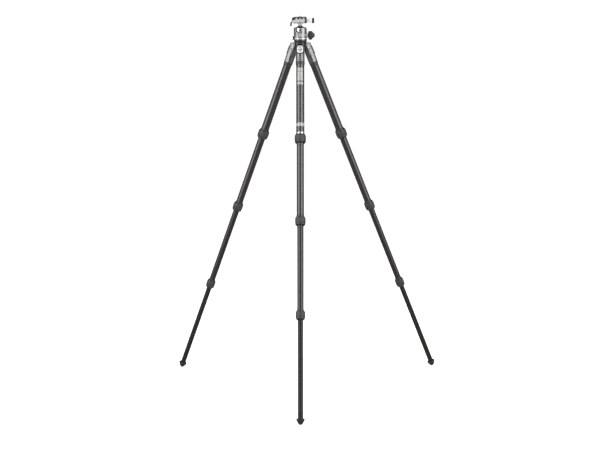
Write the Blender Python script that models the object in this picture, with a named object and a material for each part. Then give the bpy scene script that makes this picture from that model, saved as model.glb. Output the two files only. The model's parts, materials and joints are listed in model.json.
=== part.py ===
"""A columnless carbon tripod with a ball head and a quick-release clamp, as separate parts.

Metres, +Z up. The origin is on the ground, at the centre of the footprint's box. Each leg is
modelled in its own frame: the origin is the hip bolt's centre, +Z runs up the leg and +X points
outwards, away from the tripod's axis. A station is a distance down the leg from the hip bolt.
"""

import math

import bmesh
import bpy
from mathutils import Matrix, Vector

# Legs: three, at the same angle from the vertical, the first one towards -Y
LEG_AZIMUTHS = (-90, 30, 150)
LEG_ANGLE = math.radians(23.436)
HIP_RADIUS = 0.0302
FOOT_BALL_RADIUS = 0.0105
FOOT_STATION = 1.4823
HIP_HEIGHT = FOOT_BALL_RADIUS + FOOT_STATION * math.cos(LEG_ANGLE)

# Leg sections: outer radii from the top section down, and the stations of the lock centres
TUBE_RADII = (0.016, 0.014, 0.012, 0.010)
TUBE_WALL = 0.0015
TUBE_TOP_STATION = 0.0400
TUBE_OVERLAP = 0.050
LOCK_STATIONS = (0.3847, 0.7161, 1.0823)
LOCK_HALF_LENGTH = 0.018
LOCK_THICKNESS = 0.006
FERRULE_LENGTH = 0.0072
FERRULE_PROUD = 0.0007
FERRULE_BELOW_LOCK_CENTRE = 0.006
FOOT_TOP = 0.0135

# Hip: a round shoulder with a slot, in which the spider's lug sits on the hip bolt
SHOULDER_RADIUS = 0.018
SHOULDER_END_STATION = 0.067
SHOULDER_SKIRT_STATION = 0.079
KNUCKLE_RADIUS = 0.0175
CHEEK_HALF_WIDTH = 0.016
CHEEK_FLAT_RADIUS = 0.00825
LUG_HALF_WIDTH = 0.0100
LUG_RADIUS = 0.0100
HIP_BOLT_RADIUS = 0.004
STOP_FLOOR = 0.0100
STOP_SPREADS = (23.436, 50.0, 80.0)

# Head: heights of the stacked parts on the tripod's axis
SPIDER_TOP = 1.3882
PLATFORM_TOP = 1.3925
PAN_BASE_TOP = 1.3985
HOUSING_RADIUS = 0.026
HOUSING_TOP = 1.4460
BALL_RADIUS = 0.0195
BALL_HEIGHT = 1.4335
STEM_RADIUS = 0.0075
STEM_TOP = 1.4617
NOTCH_HALF_WIDTH = 0.0082
NOTCH_AZIMUTH = math.radians(-110)
MAIN_KNOB_AZIMUTH = math.radians(-18)
MAIN_KNOB_HEIGHT = 1.4150
BOSS_END = 0.0342
MAIN_KNOB_RADIUS = 0.0167
MAIN_KNOB_START = 0.0345
MAIN_KNOB_END = 0.0515
PAN_KNOB_AZIMUTH = math.radians(-165)
PAN_KNOB_HEIGHT = 1.4045

# Clamp and plate: the dovetail runs along Y, and the clamp screw along X
CLAMP_BOTTOM = 1.4620
CLAMP_FLOOR = 1.4765
JAW_TOP = 1.4845
CLAMP_HALF_LENGTH = 0.025
GROOVE_HALF_WIDTH = 0.0198
CLAMP_SCREW_HEIGHT = 1.4722
LATCH_PIVOT = (-0.0308, 1.4720)
PLATE_HALF_WIDTH = 0.026
PLATE_TOP = 1.4862

GAP = 0.0003
FINE = 20
COARSE = 16
SMALL = 12
TINY = 10


def clear_scene():
    for old in list(bpy.data.objects):
        bpy.data.objects.remove(old)


def make_material(name, colour, roughness, metallic):
    material = bpy.data.materials.new(name)
    material.use_nodes = True
    shader = material.node_tree.nodes["Principled BSDF"]
    shader.inputs["Base Color"].default_value = (*colour, 1.0)
    shader.inputs["Roughness"].default_value = roughness
    shader.inputs["Metallic"].default_value = metallic
    return material


def shape(bm):
    """Closes off a bmesh as an object in the scene, ready to be cut or joined."""
    bmesh.ops.recalc_face_normals(bm, faces=bm.faces)
    mesh = bpy.data.meshes.new("shape")
    bm.to_mesh(mesh)
    bm.free()
    obj = bpy.data.objects.new("shape", mesh)
    bpy.context.scene.collection.objects.link(obj)
    return obj


def turned(outline, sides=COARSE):
    """A solid of revolution about Z, from a closed outline of (radius, height) points."""
    bm = bmesh.new()
    angles = [2 * math.pi * k / sides for k in range(sides)]
    rings = []
    for radius, height in outline:
        if radius == 0:
            rings.append([bm.verts.new((0, 0, height))] * sides)
            continue
        ring = [bm.verts.new((radius * math.cos(a), radius * math.sin(a), height)) for a in angles]
        rings.append(ring)
    for ring, after in zip(rings, rings[1:] + rings[:1]):
        for k in range(sides):
            n = (k + 1) % sides
            corners = list(dict.fromkeys((ring[k], ring[n], after[n], after[k])))
            if len(corners) > 2:
                bm.faces.new(corners)
    return shape(bm)


def prism(outline, low, high, axis="z"):
    """Extrudes a closed outline between two heights along an axis.

    The outline's two numbers are the other two coordinates, in X, Y, Z order.
    """
    order = {"x": (2, 0, 1), "y": (0, 2, 1), "z": (0, 1, 2)}[axis]
    bm = bmesh.new()
    ends = []
    for height in (low, high):
        points = [(a, b, height) for a, b in outline]
        ends.append([bm.verts.new([p[i] for i in order]) for p in points])
    bm.faces.new(ends[0])
    bm.faces.new(reversed(ends[1]))
    count = len(outline)
    for k in range(count):
        n = (k + 1) % count
        bm.faces.new((ends[0][k], ends[0][n], ends[1][n], ends[1][k]))
    return shape(bm)


def block(x, y, z):
    """A box between the low and high values given for X, Y and Z."""
    return prism([(x[0], y[0]), (x[1], y[0]), (x[1], y[1]), (x[0], y[1])], z[0], z[1])


def rod(radius, low, high, axis="z", centre=(0, 0), sides=SMALL):
    """A cylinder along an axis, between two heights. The centre is in the other two coordinates."""
    points = arc(radius, 0, 360, sides, centre)
    return prism(points[:-1], low, high, axis)


def arc(radius, start, end, steps, centre=(0, 0)):
    """Points on an arc, from a start to an end angle in degrees, both ends included."""
    points = []
    for k in range(steps + 1):
        angle = math.radians(start + (end - start) * k / steps)
        points.append((centre[0] + radius * math.cos(angle), centre[1] + radius * math.sin(angle)))
    return points


def turn(obj, azimuth):
    """Turns a shape's mesh about Z."""
    obj.data.transform(Matrix.Rotation(azimuth, 4, "Z"))
    return obj


def combine(body, operation, *tools):
    """Cuts a body with tools, joins them to it, or keeps what they share. The tools are used up."""
    for tool in tools:
        modifier = body.modifiers.new("combine", "BOOLEAN")
        modifier.operation = operation
        modifier.object = tool
        modifier.solver = "EXACT"
    graph = bpy.context.evaluated_depsgraph_get()
    mesh = bpy.data.meshes.new_from_object(body.evaluated_get(graph))
    body.modifiers.clear()
    body.data = mesh
    for tool in tools:
        bpy.data.objects.remove(tool)
    return body


def cut(body, *tools):
    return combine(body, "DIFFERENCE", *tools)


def join(body, *tools):
    return combine(body, "UNION", *tools)


def keep(body, *tools):
    return combine(body, "INTERSECT", *tools)


def mesh_of(body, material):
    """Takes a finished shape's mesh for use on one or more parts."""
    mesh = body.data
    bpy.data.objects.remove(body)
    mesh.materials.clear()
    mesh.materials.append(material)
    mesh.shade_smooth()
    mesh.set_sharp_from_angle(angle=math.radians(32))
    return mesh


def place(name, mesh, parent, location=(0, 0, 0), rotation=(0, 0, 0)):
    obj = bpy.data.objects.new(name, mesh)
    bpy.context.scene.collection.objects.link(obj)
    obj.parent = parent
    obj.location = location
    obj.rotation_euler = rotation
    return obj


def make_empty(name, parent=None, location=(0, 0, 0), rotation=(0, 0, 0)):
    empty = place(name, None, parent, location, rotation)
    empty.empty_display_size = 0.02
    return empty


def make_shoulder(material):
    """The casting that holds the top tube: round, slotted for the lug, with flat cheeks."""
    bore = TUBE_RADII[0] + 0.00035
    body = turned(
        [
            (0, 0.020),
            (SHOULDER_RADIUS, 0.020),
            (SHOULDER_RADIUS, -SHOULDER_END_STATION),
            (SHOULDER_RADIUS - 0.0011, -SHOULDER_SKIRT_STATION),
            (bore, -SHOULDER_SKIRT_STATION),
            (bore, -TUBE_TOP_STATION + GAP),
            (0, -TUBE_TOP_STATION + GAP),
        ],
        FINE,
    )
    side = arc(KNUCKLE_RADIUS, 0, 180, 14)
    side += [(-0.0185, -0.004), (-0.0185, -0.085), (0.0185, -0.085), (0.0185, -0.004)]
    keep(body, prism(side, -0.03, 0.03, "y"))
    for y in (-1, 1):
        for half_width, end in ((CHEEK_HALF_WIDTH, 0.029), (CHEEK_HALF_WIDTH + 0.0011, 0.054)):
            span = sorted((y * half_width, y * 0.03))
            flat_end = rod(CHEEK_FLAT_RADIUS, *span, "y", (0, -end))
            flat = block((-CHEEK_FLAT_RADIUS, CHEEK_FLAT_RADIUS), span, (-end, 0.03))
            cut(body, join(flat, flat_end))
        counterbore = sorted((y * (CHEEK_HALF_WIDTH - 0.0023), y * 0.03))
        cut(body, rod(0.0074, *counterbore, "y"))
    slot_half_width = LUG_HALF_WIDTH + 0.0004
    slot_wall = LUG_RADIUS + 0.0004
    width = (-slot_half_width, slot_half_width)
    cut(body, block((-0.03, slot_wall), width, (-slot_wall, 0.03)))
    cut(body, block((0, 0.03), width, (-0.0004, 0.007)))
    cut(body, prism(home_plate(0.0152, 0.0009, -0.0280, -0.0375), STOP_FLOOR, 0.03, "x"))
    cut(body, block((-0.002, 0.012), (-0.0054, 0.0054), (-0.0181, -0.0129)))
    cut(body, rod(HIP_BOLT_RADIUS + 0.00035, -0.03, 0.03, "y"))
    return mesh_of(body, material)


def home_plate(half_width, top, bottom, point):
    """An outline with a straight top, parallel sides and a V-shaped lower end, in (Y, Z)."""
    return [(-half_width, top), (-half_width, bottom), (0, point), (half_width, bottom), (half_width, top)]


def make_angle_stop(material):
    """The pull-out stop: a plate with a finger lip, and the stem that guides it."""
    face = STOP_FLOOR + 0.0030
    body = prism(home_plate(0.0138, -0.0002, -0.0273, -0.0358), STOP_FLOOR + 0.00035, face, "x")
    lip = [
        (-0.0132, -0.0243),
        (-0.0132, -0.0268),
        (0, -0.0350),
        (0.0132, -0.0268),
        (0.0132, -0.0243),
        (0, -0.0325),
    ]
    stem = block((-0.0015, face - 0.001), (-0.0050, 0.0050), (-0.0177, -0.0133))
    join(body, prism(lip, face - 0.0005, face + 0.0024, "x"), stem)
    return mesh_of(body, material)


def make_hip_bolt(material):
    head, length = 0.0071, CHEEK_HALF_WIDTH - 0.0003
    under = length - 0.0017
    outline = [(0, length), (head, length), (head, under), (HIP_BOLT_RADIUS, under)]
    outline += [(r, -z) for r, z in reversed(outline)]
    return mesh_of(turned(outline, SMALL), material)


def make_tube(number, material):
    """A leg section from its own top, with the bonded ferrule that its lock screws on to."""
    radius = TUBE_RADII[number]
    top = tube_top(number)
    bore = radius - TUBE_WALL
    if number == len(LOCK_STATIONS):
        end = FOOT_STATION - FOOT_TOP - GAP - top
        outline = [(radius, 0), (radius, -end), (bore, -end), (bore, 0)]
    else:
        ferrule = radius + FERRULE_PROUD
        ferrule_top = LOCK_STATIONS[number] - LOCK_HALF_LENGTH - FERRULE_LENGTH - top
        end = LOCK_STATIONS[number] + FERRULE_BELOW_LOCK_CENTRE - top
        outline = [(radius, 0), (radius, -ferrule_top), (ferrule, -ferrule_top), (ferrule, -end)]
        outline += [(bore, -end), (bore, 0)]
    return mesh_of(turned(outline), material)


def tube_top(number):
    """The station of a section's upper end: the top one in the shoulder, the others in a tube."""
    if number == 0:
        return TUBE_TOP_STATION
    return LOCK_STATIONS[number - 1] - TUBE_OVERLAP


def make_lock(number, material):
    """The rubber-covered twist collar round the end of one tube and the start of the next."""
    upper, lower = TUBE_RADII[number], TUBE_RADII[number + 1]
    outer = upper + LOCK_THICKNESS
    wide_bore = upper + FERRULE_PROUD + 0.0005
    narrow_bore = lower + 0.00045
    step = -FERRULE_BELOW_LOCK_CENTRE - 0.0005
    outline = [
        (upper + 0.0020, LOCK_HALF_LENGTH),
        (outer, 0.0110),
        (outer, -0.0040),
        (outer - 0.0011, -0.0055),
        (outer - 0.0011, -0.0125),
        (lower + 0.0026, -LOCK_HALF_LENGTH),
        (narrow_bore, -LOCK_HALF_LENGTH),
        (narrow_bore, step),
        (wide_bore, step),
        (wide_bore, LOCK_HALF_LENGTH),
    ]
    return mesh_of(turned(outline), material)


def make_foot(material):
    """The mushroom foot, about its own ball's centre. One ring of corners is where it touches."""
    cone = math.degrees(math.atan2(0.0067, 0.0117))
    contact = math.degrees(LEG_ANGLE)
    outline = [(0.0103, FOOT_TOP), (0.0142, 0.0120), (0.0160, 0.0094), (0.0158, 0.0065)]
    for angle in (90 - cone, 2 * contact, contact):
        across = FOOT_BALL_RADIUS * math.sin(math.radians(angle))
        down = FOOT_BALL_RADIUS * math.cos(math.radians(angle))
        outline.append((across, -down))
    outline += [(0, -FOOT_BALL_RADIUS), (0, -0.002), (0.00485, -0.002), (0.00485, FOOT_TOP)]
    return mesh_of(turned(outline), material)


def make_foot_stud(material):
    """The insert bonded in the last tube, with the stud that the foot screws on to."""
    plug = TUBE_RADII[-1] - TUBE_WALL - 0.0003
    outline = [(0, 0.034), (plug, 0.034), (plug, FOOT_TOP + GAP), (0.0045, FOOT_TOP + GAP)]
    outline += [(0.0045, -0.0016), (0, -0.0016)]
    return mesh_of(turned(outline, SMALL), material)


def make_spider(material):
    """The apex casting: a hub with three lugs, each with teeth for the angle stop, and a level's cup."""
    body = turned(
        [
            (0, SPIDER_TOP),
            (0.0200, SPIDER_TOP),
            (0.0200, SPIDER_TOP - 0.0014),
            (0.0160, SPIDER_TOP - 0.0052),
            (0.0115, SPIDER_TOP - 0.0092),
            (0.0115, HIP_HEIGHT - 0.0170),
            (0.0095, HIP_HEIGHT - 0.0200),
            (0, HIP_HEIGHT - 0.0200),
        ],
        FINE,
    )
    width = (-LUG_HALF_WIDTH, LUG_HALF_WIDTH)
    for azimuth in map(math.radians, LEG_AZIMUTHS):
        arm = block((0.005, HIP_RADIUS), width, (HIP_HEIGHT - 0.008, HIP_HEIGHT + 0.008))
        eye = rod(LUG_RADIUS, *width, "y", (HIP_RADIUS, HIP_HEIGHT), FINE)
        join(arm, eye)
        for spread in STOP_SPREADS:
            cut(arm, stop_notch(spread))
        bore = rod(HIP_BOLT_RADIUS + 0.00035, -0.02, 0.02, "y", (HIP_RADIUS, HIP_HEIGHT))
        join(body, turn(cut(arm, bore), azimuth))
    join(body, block((-0.004, 0.004), (0.005, 0.034), (SPIDER_TOP - 0.0087, SPIDER_TOP - 0.0047)))
    join(body, rod(0.0082, SPIDER_TOP - 0.0097, SPIDER_TOP - 0.0020, "z", (0, 0.034), COARSE))
    cut(body, rod(0.0069, SPIDER_TOP - 0.0082, SPIDER_TOP, "z", (0, 0.034), COARSE))
    cut(body, rod(0.0052, HIP_HEIGHT, SPIDER_TOP + 0.01))
    cut(body, rod(0.0029, HIP_HEIGHT - 0.03, HIP_HEIGHT - 0.0065, sides=TINY))
    return mesh_of(body, material)


def stop_notch(spread):
    """The tooth gap that the angle stop's nose faces when the leg is at a spread, in degrees."""
    nose = math.degrees(math.atan2(0.0015, STOP_FLOOR))
    notch = block((LUG_RADIUS - 0.0016, LUG_RADIUS + 0.003), (-0.02, 0.02), (-0.0017, 0.0017))
    notch.data.transform(Matrix.Rotation(-math.radians(spread - nose), 4, "Y"))
    notch.data.transform(Matrix.Translation((HIP_RADIUS, 0, HIP_HEIGHT)))
    return notch


def make_platform(material):
    low = SPIDER_TOP + GAP
    outline = [(0.0245, PLATFORM_TOP), (0.0245, low + 0.0006), (0.0239, low), (0.0052, low)]
    outline.append((0.0052, PLATFORM_TOP))
    return mesh_of(turned(outline, FINE), material)


def make_platform_stud(material):
    low = HIP_HEIGHT + 0.0004
    outline = [(0, 1.4040), (0.0039, 1.4040), (0.0047, 1.4032), (0.0047, low), (0, low)]
    return mesh_of(turned(outline, SMALL), material)


def make_weight_hook(material):
    """A threaded stud with a collar and a ring below it, to hang a weight on."""
    top = HIP_HEIGHT - 0.0070
    seat = HIP_HEIGHT - 0.0200 - GAP
    body = turned(
        [(0, top), (0.0025, top), (0.0025, seat), (0.006, seat), (0.006, seat - 0.0025)]
        + [(0.004, seat - 0.0035), (0, seat - 0.0035)],
        TINY,
    )
    return mesh_of(join(body, ring(0.008, 0.0017, seat - 0.0122)), material)


def ring(radius, wire, height):
    """A torus that stands upright in the XZ plane."""
    bm = bmesh.new()
    around, across = COARSE, 8
    loops = []
    for k in range(around):
        centre = Vector((radius, 0, 0))
        spin = Matrix.Rotation(2 * math.pi * k / around, 3, "Y")
        loop = []
        for a, b in arc(wire, 0, 360, across)[:-1]:
            loop.append(bm.verts.new(spin @ (centre + Vector((a, b, 0))) + Vector((0, 0, height))))
        loops.append(loop)
    for loop, after in zip(loops, loops[1:] + loops[:1]):
        for k in range(across):
            n = (k + 1) % across
            bm.faces.new((loop[k], loop[n], after[n], after[k]))
    return shape(bm)


def make_bubble_level(material):
    low = SPIDER_TOP - 0.0079
    outline = [(0, low + 0.0066), (0.0040, low + 0.0062), (0.0062, low + 0.0050)]
    outline += [(0.0065, low + 0.0040), (0.0065, low), (0, low)]
    return mesh_of(turned(outline), material)


def make_pan_base(material):
    """The head's base: a disc on the platform, with the spindle that the housing turns on."""
    low = PLATFORM_TOP + GAP
    outline = [
        (0.0052, 1.4070),
        (0.0180, 1.4070),
        (0.0180, PAN_BASE_TOP),
        (0.0260, PAN_BASE_TOP - 0.0003),
        (0.0260, low + 0.0006),
        (0.0254, low),
        (0.0052, low),
    ]
    return mesh_of(turned(outline, FINE), material)


def make_housing(material):
    """The ball's housing: a drop notch for the stem, and a boss for the main knob's shaft."""
    low = PAN_BASE_TOP + 0.0004
    cavity = BALL_RADIUS + 0.0005
    rim = math.degrees(math.asin((HOUSING_TOP - BALL_HEIGHT) / cavity))
    outline = [
        (0.0205, HOUSING_TOP),
        (0.0240, HOUSING_TOP - 0.0014),
        (0.0256, HOUSING_TOP - 0.0040),
        (HOUSING_RADIUS, HOUSING_TOP - 0.0070),
        (HOUSING_RADIUS, low + 0.0006),
        (HOUSING_RADIUS - 0.0006, low),
        (0.0184, low),
        (0.0184, 1.4076),
        (0.0070, 1.4076),
        (0.0070, 1.4096),
        (0.0204, 1.4096),
        (0.0204, BALL_HEIGHT - 0.001),
    ]
    outline += arc(cavity, 4, rim, 4, (0, BALL_HEIGHT))
    body = turned(outline, FINE + 4)
    boss = rod(0.0078, 0.0215, BOSS_END, "x", (0, MAIN_KNOB_HEIGHT))
    join(body, turn(boss, MAIN_KNOB_AZIMUTH))
    cut(body, turn(rod(0.0044, 0.015, 0.04, "x", (0, MAIN_KNOB_HEIGHT)), MAIN_KNOB_AZIMUTH))
    cut(body, turn(rod(0.0029, 0.015, 0.03, "x", (0, PAN_KNOB_HEIGHT), TINY), PAN_KNOB_AZIMUTH))
    cut(body, notch_cutter())
    return mesh_of(body, material)


def notch_cutter():
    """The space in which the stem drops to the side: a slot with a round lower end."""
    outline = arc(NOTCH_HALF_WIDTH, 180, 360, 10, (0, BALL_HEIGHT))
    outline += [(NOTCH_HALF_WIDTH, HOUSING_TOP + 0.01), (-NOTCH_HALF_WIDTH, HOUSING_TOP + 0.01)]
    return turn(prism(outline, 0.008, 0.04, "x"), NOTCH_AZIMUTH)


def make_ball_seat(material):
    """The cup under the ball, which the main knob's shaft squeezes."""
    inner = BALL_RADIUS + 0.0005
    top, low = BALL_HEIGHT - NOTCH_HALF_WIDTH - 0.0003, 1.4100
    start = math.degrees(-math.acos(0.008 / inner))
    end = math.degrees(math.asin((top - BALL_HEIGHT) / inner))
    outline = [(0.0199, top), (0.0199, low), (0.008, low)]
    outline += arc(inner, start, end, 5, (0, BALL_HEIGHT))
    return mesh_of(turned(outline, FINE), material)


def make_collar_ring(material):
    """The dust ring round the ball's opening, split where the drop notch is."""
    low = HOUSING_TOP + GAP
    outline = [(0.0158, low + 0.0011), (0.0184, low + 0.0011), (0.0190, low + 0.0005)]
    outline += [(0.0190, low), (0.0158, low)]
    return mesh_of(cut(turned(outline, FINE), notch_cutter()), material)


def make_ball(material):
    """The ball and its stem, one turned piece, with the clamp bolt's thread in it."""
    stem_angle = math.degrees(math.acos(STEM_RADIUS / BALL_RADIUS))
    outline = [(0.0032, 1.4470), (0.0032, STEM_TOP), (0.0100, STEM_TOP), (0.0100, 1.4606)]
    outline.append((STEM_RADIUS, 1.4593))
    outline += arc(BALL_RADIUS, stem_angle, -90, 12, (0, BALL_HEIGHT))[:-1]
    outline += [(0, BALL_HEIGHT - BALL_RADIUS), (0, 1.4470)]
    return centred(mesh_of(turned(outline, FINE), material))


def centred(mesh):
    """Moves a mesh that was modelled at its height so that the ball's centre is its origin."""
    mesh.transform(Matrix.Translation((0, 0, -BALL_HEIGHT)))
    return mesh


def make_main_knob_shaft(material):
    return mesh_of(rod(0.0040, 0.0209, MAIN_KNOB_END - 0.0050), material)


def make_main_knob(material):
    """The lobed main knob along its own axis, hollow for the shaft and the friction dial."""
    lobes, wave, sides = 7, 0.0011, 42
    start, end = MAIN_KNOB_START, MAIN_KNOB_END
    levels = [(start, 0.62), (start + 0.0020, 0.88), (start + 0.0042, 1.0)]
    levels += [(end - 0.0066, 1.0), (end - 0.0026, 0.86), (end, 0.66)]
    bm = bmesh.new()
    rings = []
    for height, scale in levels:
        loop = []
        for k in range(sides):
            angle = 2 * math.pi * k / sides
            reach = scale * (MAIN_KNOB_RADIUS + wave * math.cos(lobes * angle))
            loop.append(bm.verts.new((reach * math.cos(angle), reach * math.sin(angle), height)))
        rings.append(loop)
    for loop, after in zip(rings, rings[1:]):
        for k in range(sides):
            n = (k + 1) % sides
            bm.faces.new((loop[k], loop[n], after[n], after[k]))
    bm.faces.new(rings[0])
    bm.faces.new(reversed(rings[-1]))
    body = shape(bm)
    cut(body, rod(0.0043, 0.03, end - 0.0045), rod(0.0081, end - 0.0031, 0.07, sides=COARSE))
    return mesh_of(body, material)


def make_friction_dial(material):
    """The domed dial on the main knob's end, with a coin slot."""
    low, top = MAIN_KNOB_END + 0.0004, MAIN_KNOB_END + 0.0077
    outline = [
        (0, top),
        (0.0060, top - 0.0002),
        (0.0088, top - 0.0020),
        (0.0095, top - 0.0042),
        (0.0095, low),
        (0.0076, low),
        (0.0076, MAIN_KNOB_END - 0.0028),
        (0, MAIN_KNOB_END - 0.0028),
    ]
    slot = block((-0.0055, 0.0055), (-0.0008, 0.0008), (top - 0.0014, top + 0.001))
    return mesh_of(cut(turned(outline), slot), material)


def make_pan_knob(material):
    """The pan lock: a knob on a short screw that presses on the base's spindle."""
    outline = [
        (0, 0.0385),
        (0.0052, 0.0385),
        (0.0070, 0.0350),
        (0.0070, 0.0282),
        (0.0062, 0.0272),
        (0.0024, 0.0272),
        (0.0024, 0.0188),
        (0, 0.0188),
    ]
    return mesh_of(turned(outline, SMALL), material)


def dovetail_jaw(sign):
    """The jaw's face outline over the groove, from its top to its foot, in (X, Z)."""
    lip, flank = GROOVE_HALF_WIDTH - 0.0046, 0.0053
    points = [(lip, JAW_TOP), (lip, JAW_TOP - 0.0007), (GROOVE_HALF_WIDTH, JAW_TOP - flank)]
    return [(sign * x, z) for x, z in points]


def make_clamp_base(material):
    """The clamp's body with its fixed jaw, and the ears that hold the latch's pin."""
    outline = dovetail_jaw(-1) + [
        (-GROOVE_HALF_WIDTH, CLAMP_FLOOR),
        (0.0187, CLAMP_FLOOR),
        (0.0187, CLAMP_BOTTOM),
        (-0.0250, CLAMP_BOTTOM),
        (-0.0275, CLAMP_BOTTOM + 0.0025),
        (-0.0275, JAW_TOP),
    ]
    body = prism(outline, -CLAMP_HALF_LENGTH, CLAMP_HALF_LENGTH, "y")
    pin_x, pin_z = LATCH_PIVOT
    for low, high in ((-0.0105, -0.0073), (0.0073, 0.0105)):
        join(body, block((pin_x - 0.0030, -0.0270), (low, high), (pin_z - 0.0034, pin_z + 0.0034)))
    cut(body, rod(0.00185, -0.02, 0.02, "y", LATCH_PIVOT, TINY))
    cut(body, rod(0.0033, 1.45, 1.48))
    cut(body, rod(0.0056, CLAMP_FLOOR - 0.0055, 1.48))
    cut(body, rod(0.0027, 0.0072, 0.03, "x", (0, CLAMP_SCREW_HEIGHT), TINY))
    return centred(mesh_of(body, material))


def make_clamp_jaw(material):
    """The moving jaw, beside the clamp's body."""
    outline = dovetail_jaw(1) + [
        (GROOVE_HALF_WIDTH, CLAMP_FLOOR + GAP),
        (0.0190, CLAMP_FLOOR + GAP),
        (0.0190, CLAMP_BOTTOM),
        (0.0238, CLAMP_BOTTOM),
        (0.0260, CLAMP_BOTTOM + 0.0022),
        (0.0260, JAW_TOP),
    ]
    body = prism(outline, -CLAMP_HALF_LENGTH, CLAMP_HALF_LENGTH, "y")
    cut(body, rod(0.0028, 0.01, 0.03, "x", (0, CLAMP_SCREW_HEIGHT), TINY))
    return centred(mesh_of(body, material))


def make_clamp_screw(material):
    return mesh_of(rod(0.0023, 0.0078, 0.0440, sides=TINY), material)


def make_clamp_knob(material):
    """The clamp's knob along its own axis: a flared body with a wider grip ring at its end."""
    outline = [
        (0.0070, 0.0263),
        (0.0070, 0.0295),
        (0.0098, 0.0465),
        (0.0112, 0.0475),
        (0.0112, 0.0548),
        (0.0100, 0.0558),
        (0, 0.0558),
        (0, 0.0445),
        (0.0027, 0.0445),
        (0.0027, 0.0263),
    ]
    return mesh_of(turned(outline), material)


def make_latch_lever(material):
    """The side latch: its upper end stands beside the plate, its lower end is the finger tab."""
    pin_x, pin_z = LATCH_PIVOT
    outline = [
        (-0.0306, 1.4858),
        (-0.0282, 1.4858),
        (-0.0282, pin_z + 0.0040),
        (pin_x + 0.0020, pin_z - 0.0030),
        (-0.0338, 1.4625),
        (-0.0350, 1.4515),
        (-0.0393, 1.4515),
        (-0.0385, 1.4640),
        (pin_x - 0.0028, pin_z - 0.0025),
        (pin_x - 0.0022, pin_z + 0.0030),
    ]
    body = prism([(x - pin_x, z - pin_z) for x, z in outline], -0.0069, 0.0069, "y")
    return mesh_of(cut(body, rod(0.0018, -0.01, 0.01, "y", sides=TINY)), material)


def make_latch_pin(material):
    return mesh_of(rod(0.0014, -0.0103, 0.0103, "y", sides=TINY), material)


def make_clamp_bolt(material):
    """The bolt that holds the clamp on the stem, with a hexagon socket in its head."""
    top = CLAMP_FLOOR - 0.0005
    under = CLAMP_FLOOR - 0.0052
    outline = [(0, top), (0.0050, top), (0.0050, under), (0.0028, under), (0.0028, 1.4475)]
    outline.append((0, 1.4475))
    body = cut(turned(outline, SMALL), rod(0.0023, top - 0.003, top + 0.01, sides=6))
    return centred(mesh_of(body, material))


def make_plate(material):
    """The quick-release plate: a dovetail below and a wider top, with the camera screw's seat."""
    half = [
        (0.0172, CLAMP_FLOOR + GAP),
        (0.0194, CLAMP_FLOOR + 0.0025),
        (0.0149, CLAMP_FLOOR + 0.0070),
        (0.0149, JAW_TOP + 0.0004),
        (PLATE_HALF_WIDTH - 0.0005, JAW_TOP + 0.0004),
        (PLATE_HALF_WIDTH, JAW_TOP + 0.0009),
        (PLATE_HALF_WIDTH, PLATE_TOP),
    ]
    outline = half + [(-x, z) for x, z in reversed(half)]
    body = prism(outline, -0.026, 0.026, "y")
    cut(body, rod(0.0035, 1.47, 1.50), rod(0.0083, 1.47, CLAMP_FLOOR + 0.0048, sides=COARSE))
    return centred(mesh_of(body, material))


def make_plate_pad(material):
    low = PLATE_TOP + GAP
    body = block((-0.0245, 0.0245), (-0.0245, 0.0245), (low, low + 0.0015))
    return centred(mesh_of(cut(body, rod(0.0045, 1.48, 1.50)), material))


def make_camera_screw(material):
    """The 1/4 inch camera screw: a flat head with a coin slot below, and the stud above."""
    low = CLAMP_FLOOR + 0.0006
    under = low + 0.0037
    outline = [(0, 1.4915), (0.0024, 1.4915), (0.0031, 1.4908), (0.0031, under)]
    outline += [(0.0078, under), (0.0078, low), (0, low)]
    body = cut(turned(outline, SMALL), block((-0.02, 0.02), (-0.0009, 0.0009), (1.47, low + 0.0015)))
    return centred(mesh_of(body, material))


def along(azimuth):
    """The rotation that lays a part's own Z axis level, pointing along an azimuth."""
    return (0, math.pi / 2, azimuth)


def build_legs(tripod, looks):
    """Three legs, each under an empty on its hip bolt's axis."""
    last = len(TUBE_RADII) - 1
    shoulder = make_shoulder(looks["casting"])
    stop = make_angle_stop(looks["satin metal"])
    bolt = make_hip_bolt(looks["steel"])
    tubes = [make_tube(k, looks["carbon"]) for k in range(last + 1)]
    locks = [make_lock(k, looks["rubber"]) for k in range(last)]
    foot = make_foot(looks["rubber"])
    stud = make_foot_stud(looks["steel"])
    for number, degrees in enumerate(LEG_AZIMUTHS, start=1):
        azimuth = math.radians(degrees)
        leg = f"leg_{number}"
        spot = (HIP_RADIUS * math.cos(azimuth), HIP_RADIUS * math.sin(azimuth), HIP_HEIGHT)
        hip = make_empty(f"{leg}_hip", tripod, spot, (0, -LEG_ANGLE, azimuth))
        place(f"{leg}_shoulder", shoulder, hip)
        place(f"{leg}_angle_stop", stop, hip)
        place(f"{leg}_hip_bolt", bolt, hip, (0, 0, 0), (math.pi / 2, 0, 0))
        for k, tube in enumerate(tubes):
            place(f"{leg}_tube_{k + 1}", tube, hip, (0, 0, -tube_top(k)))
        for k, lock in enumerate(locks):
            place(f"{leg}_lock_{k + 1}", lock, hip, (0, 0, -LOCK_STATIONS[k]))
        place(f"{leg}_foot", foot, hip, (0, 0, -FOOT_STATION))
        place(f"{leg}_foot_stud", stud, hip, (0, 0, -FOOT_STATION))


def build_apex(tripod, looks):
    place("spider", make_spider(looks["black metal"]), tripod)
    place("platform", make_platform(looks["black metal"]), tripod)
    place("platform_stud", make_platform_stud(looks["steel"]), tripod)
    place("weight_hook", make_weight_hook(looks["steel"]), tripod)
    place("bubble_level", make_bubble_level(looks["vial"]), tripod, (0, 0.034, 0))


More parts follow.
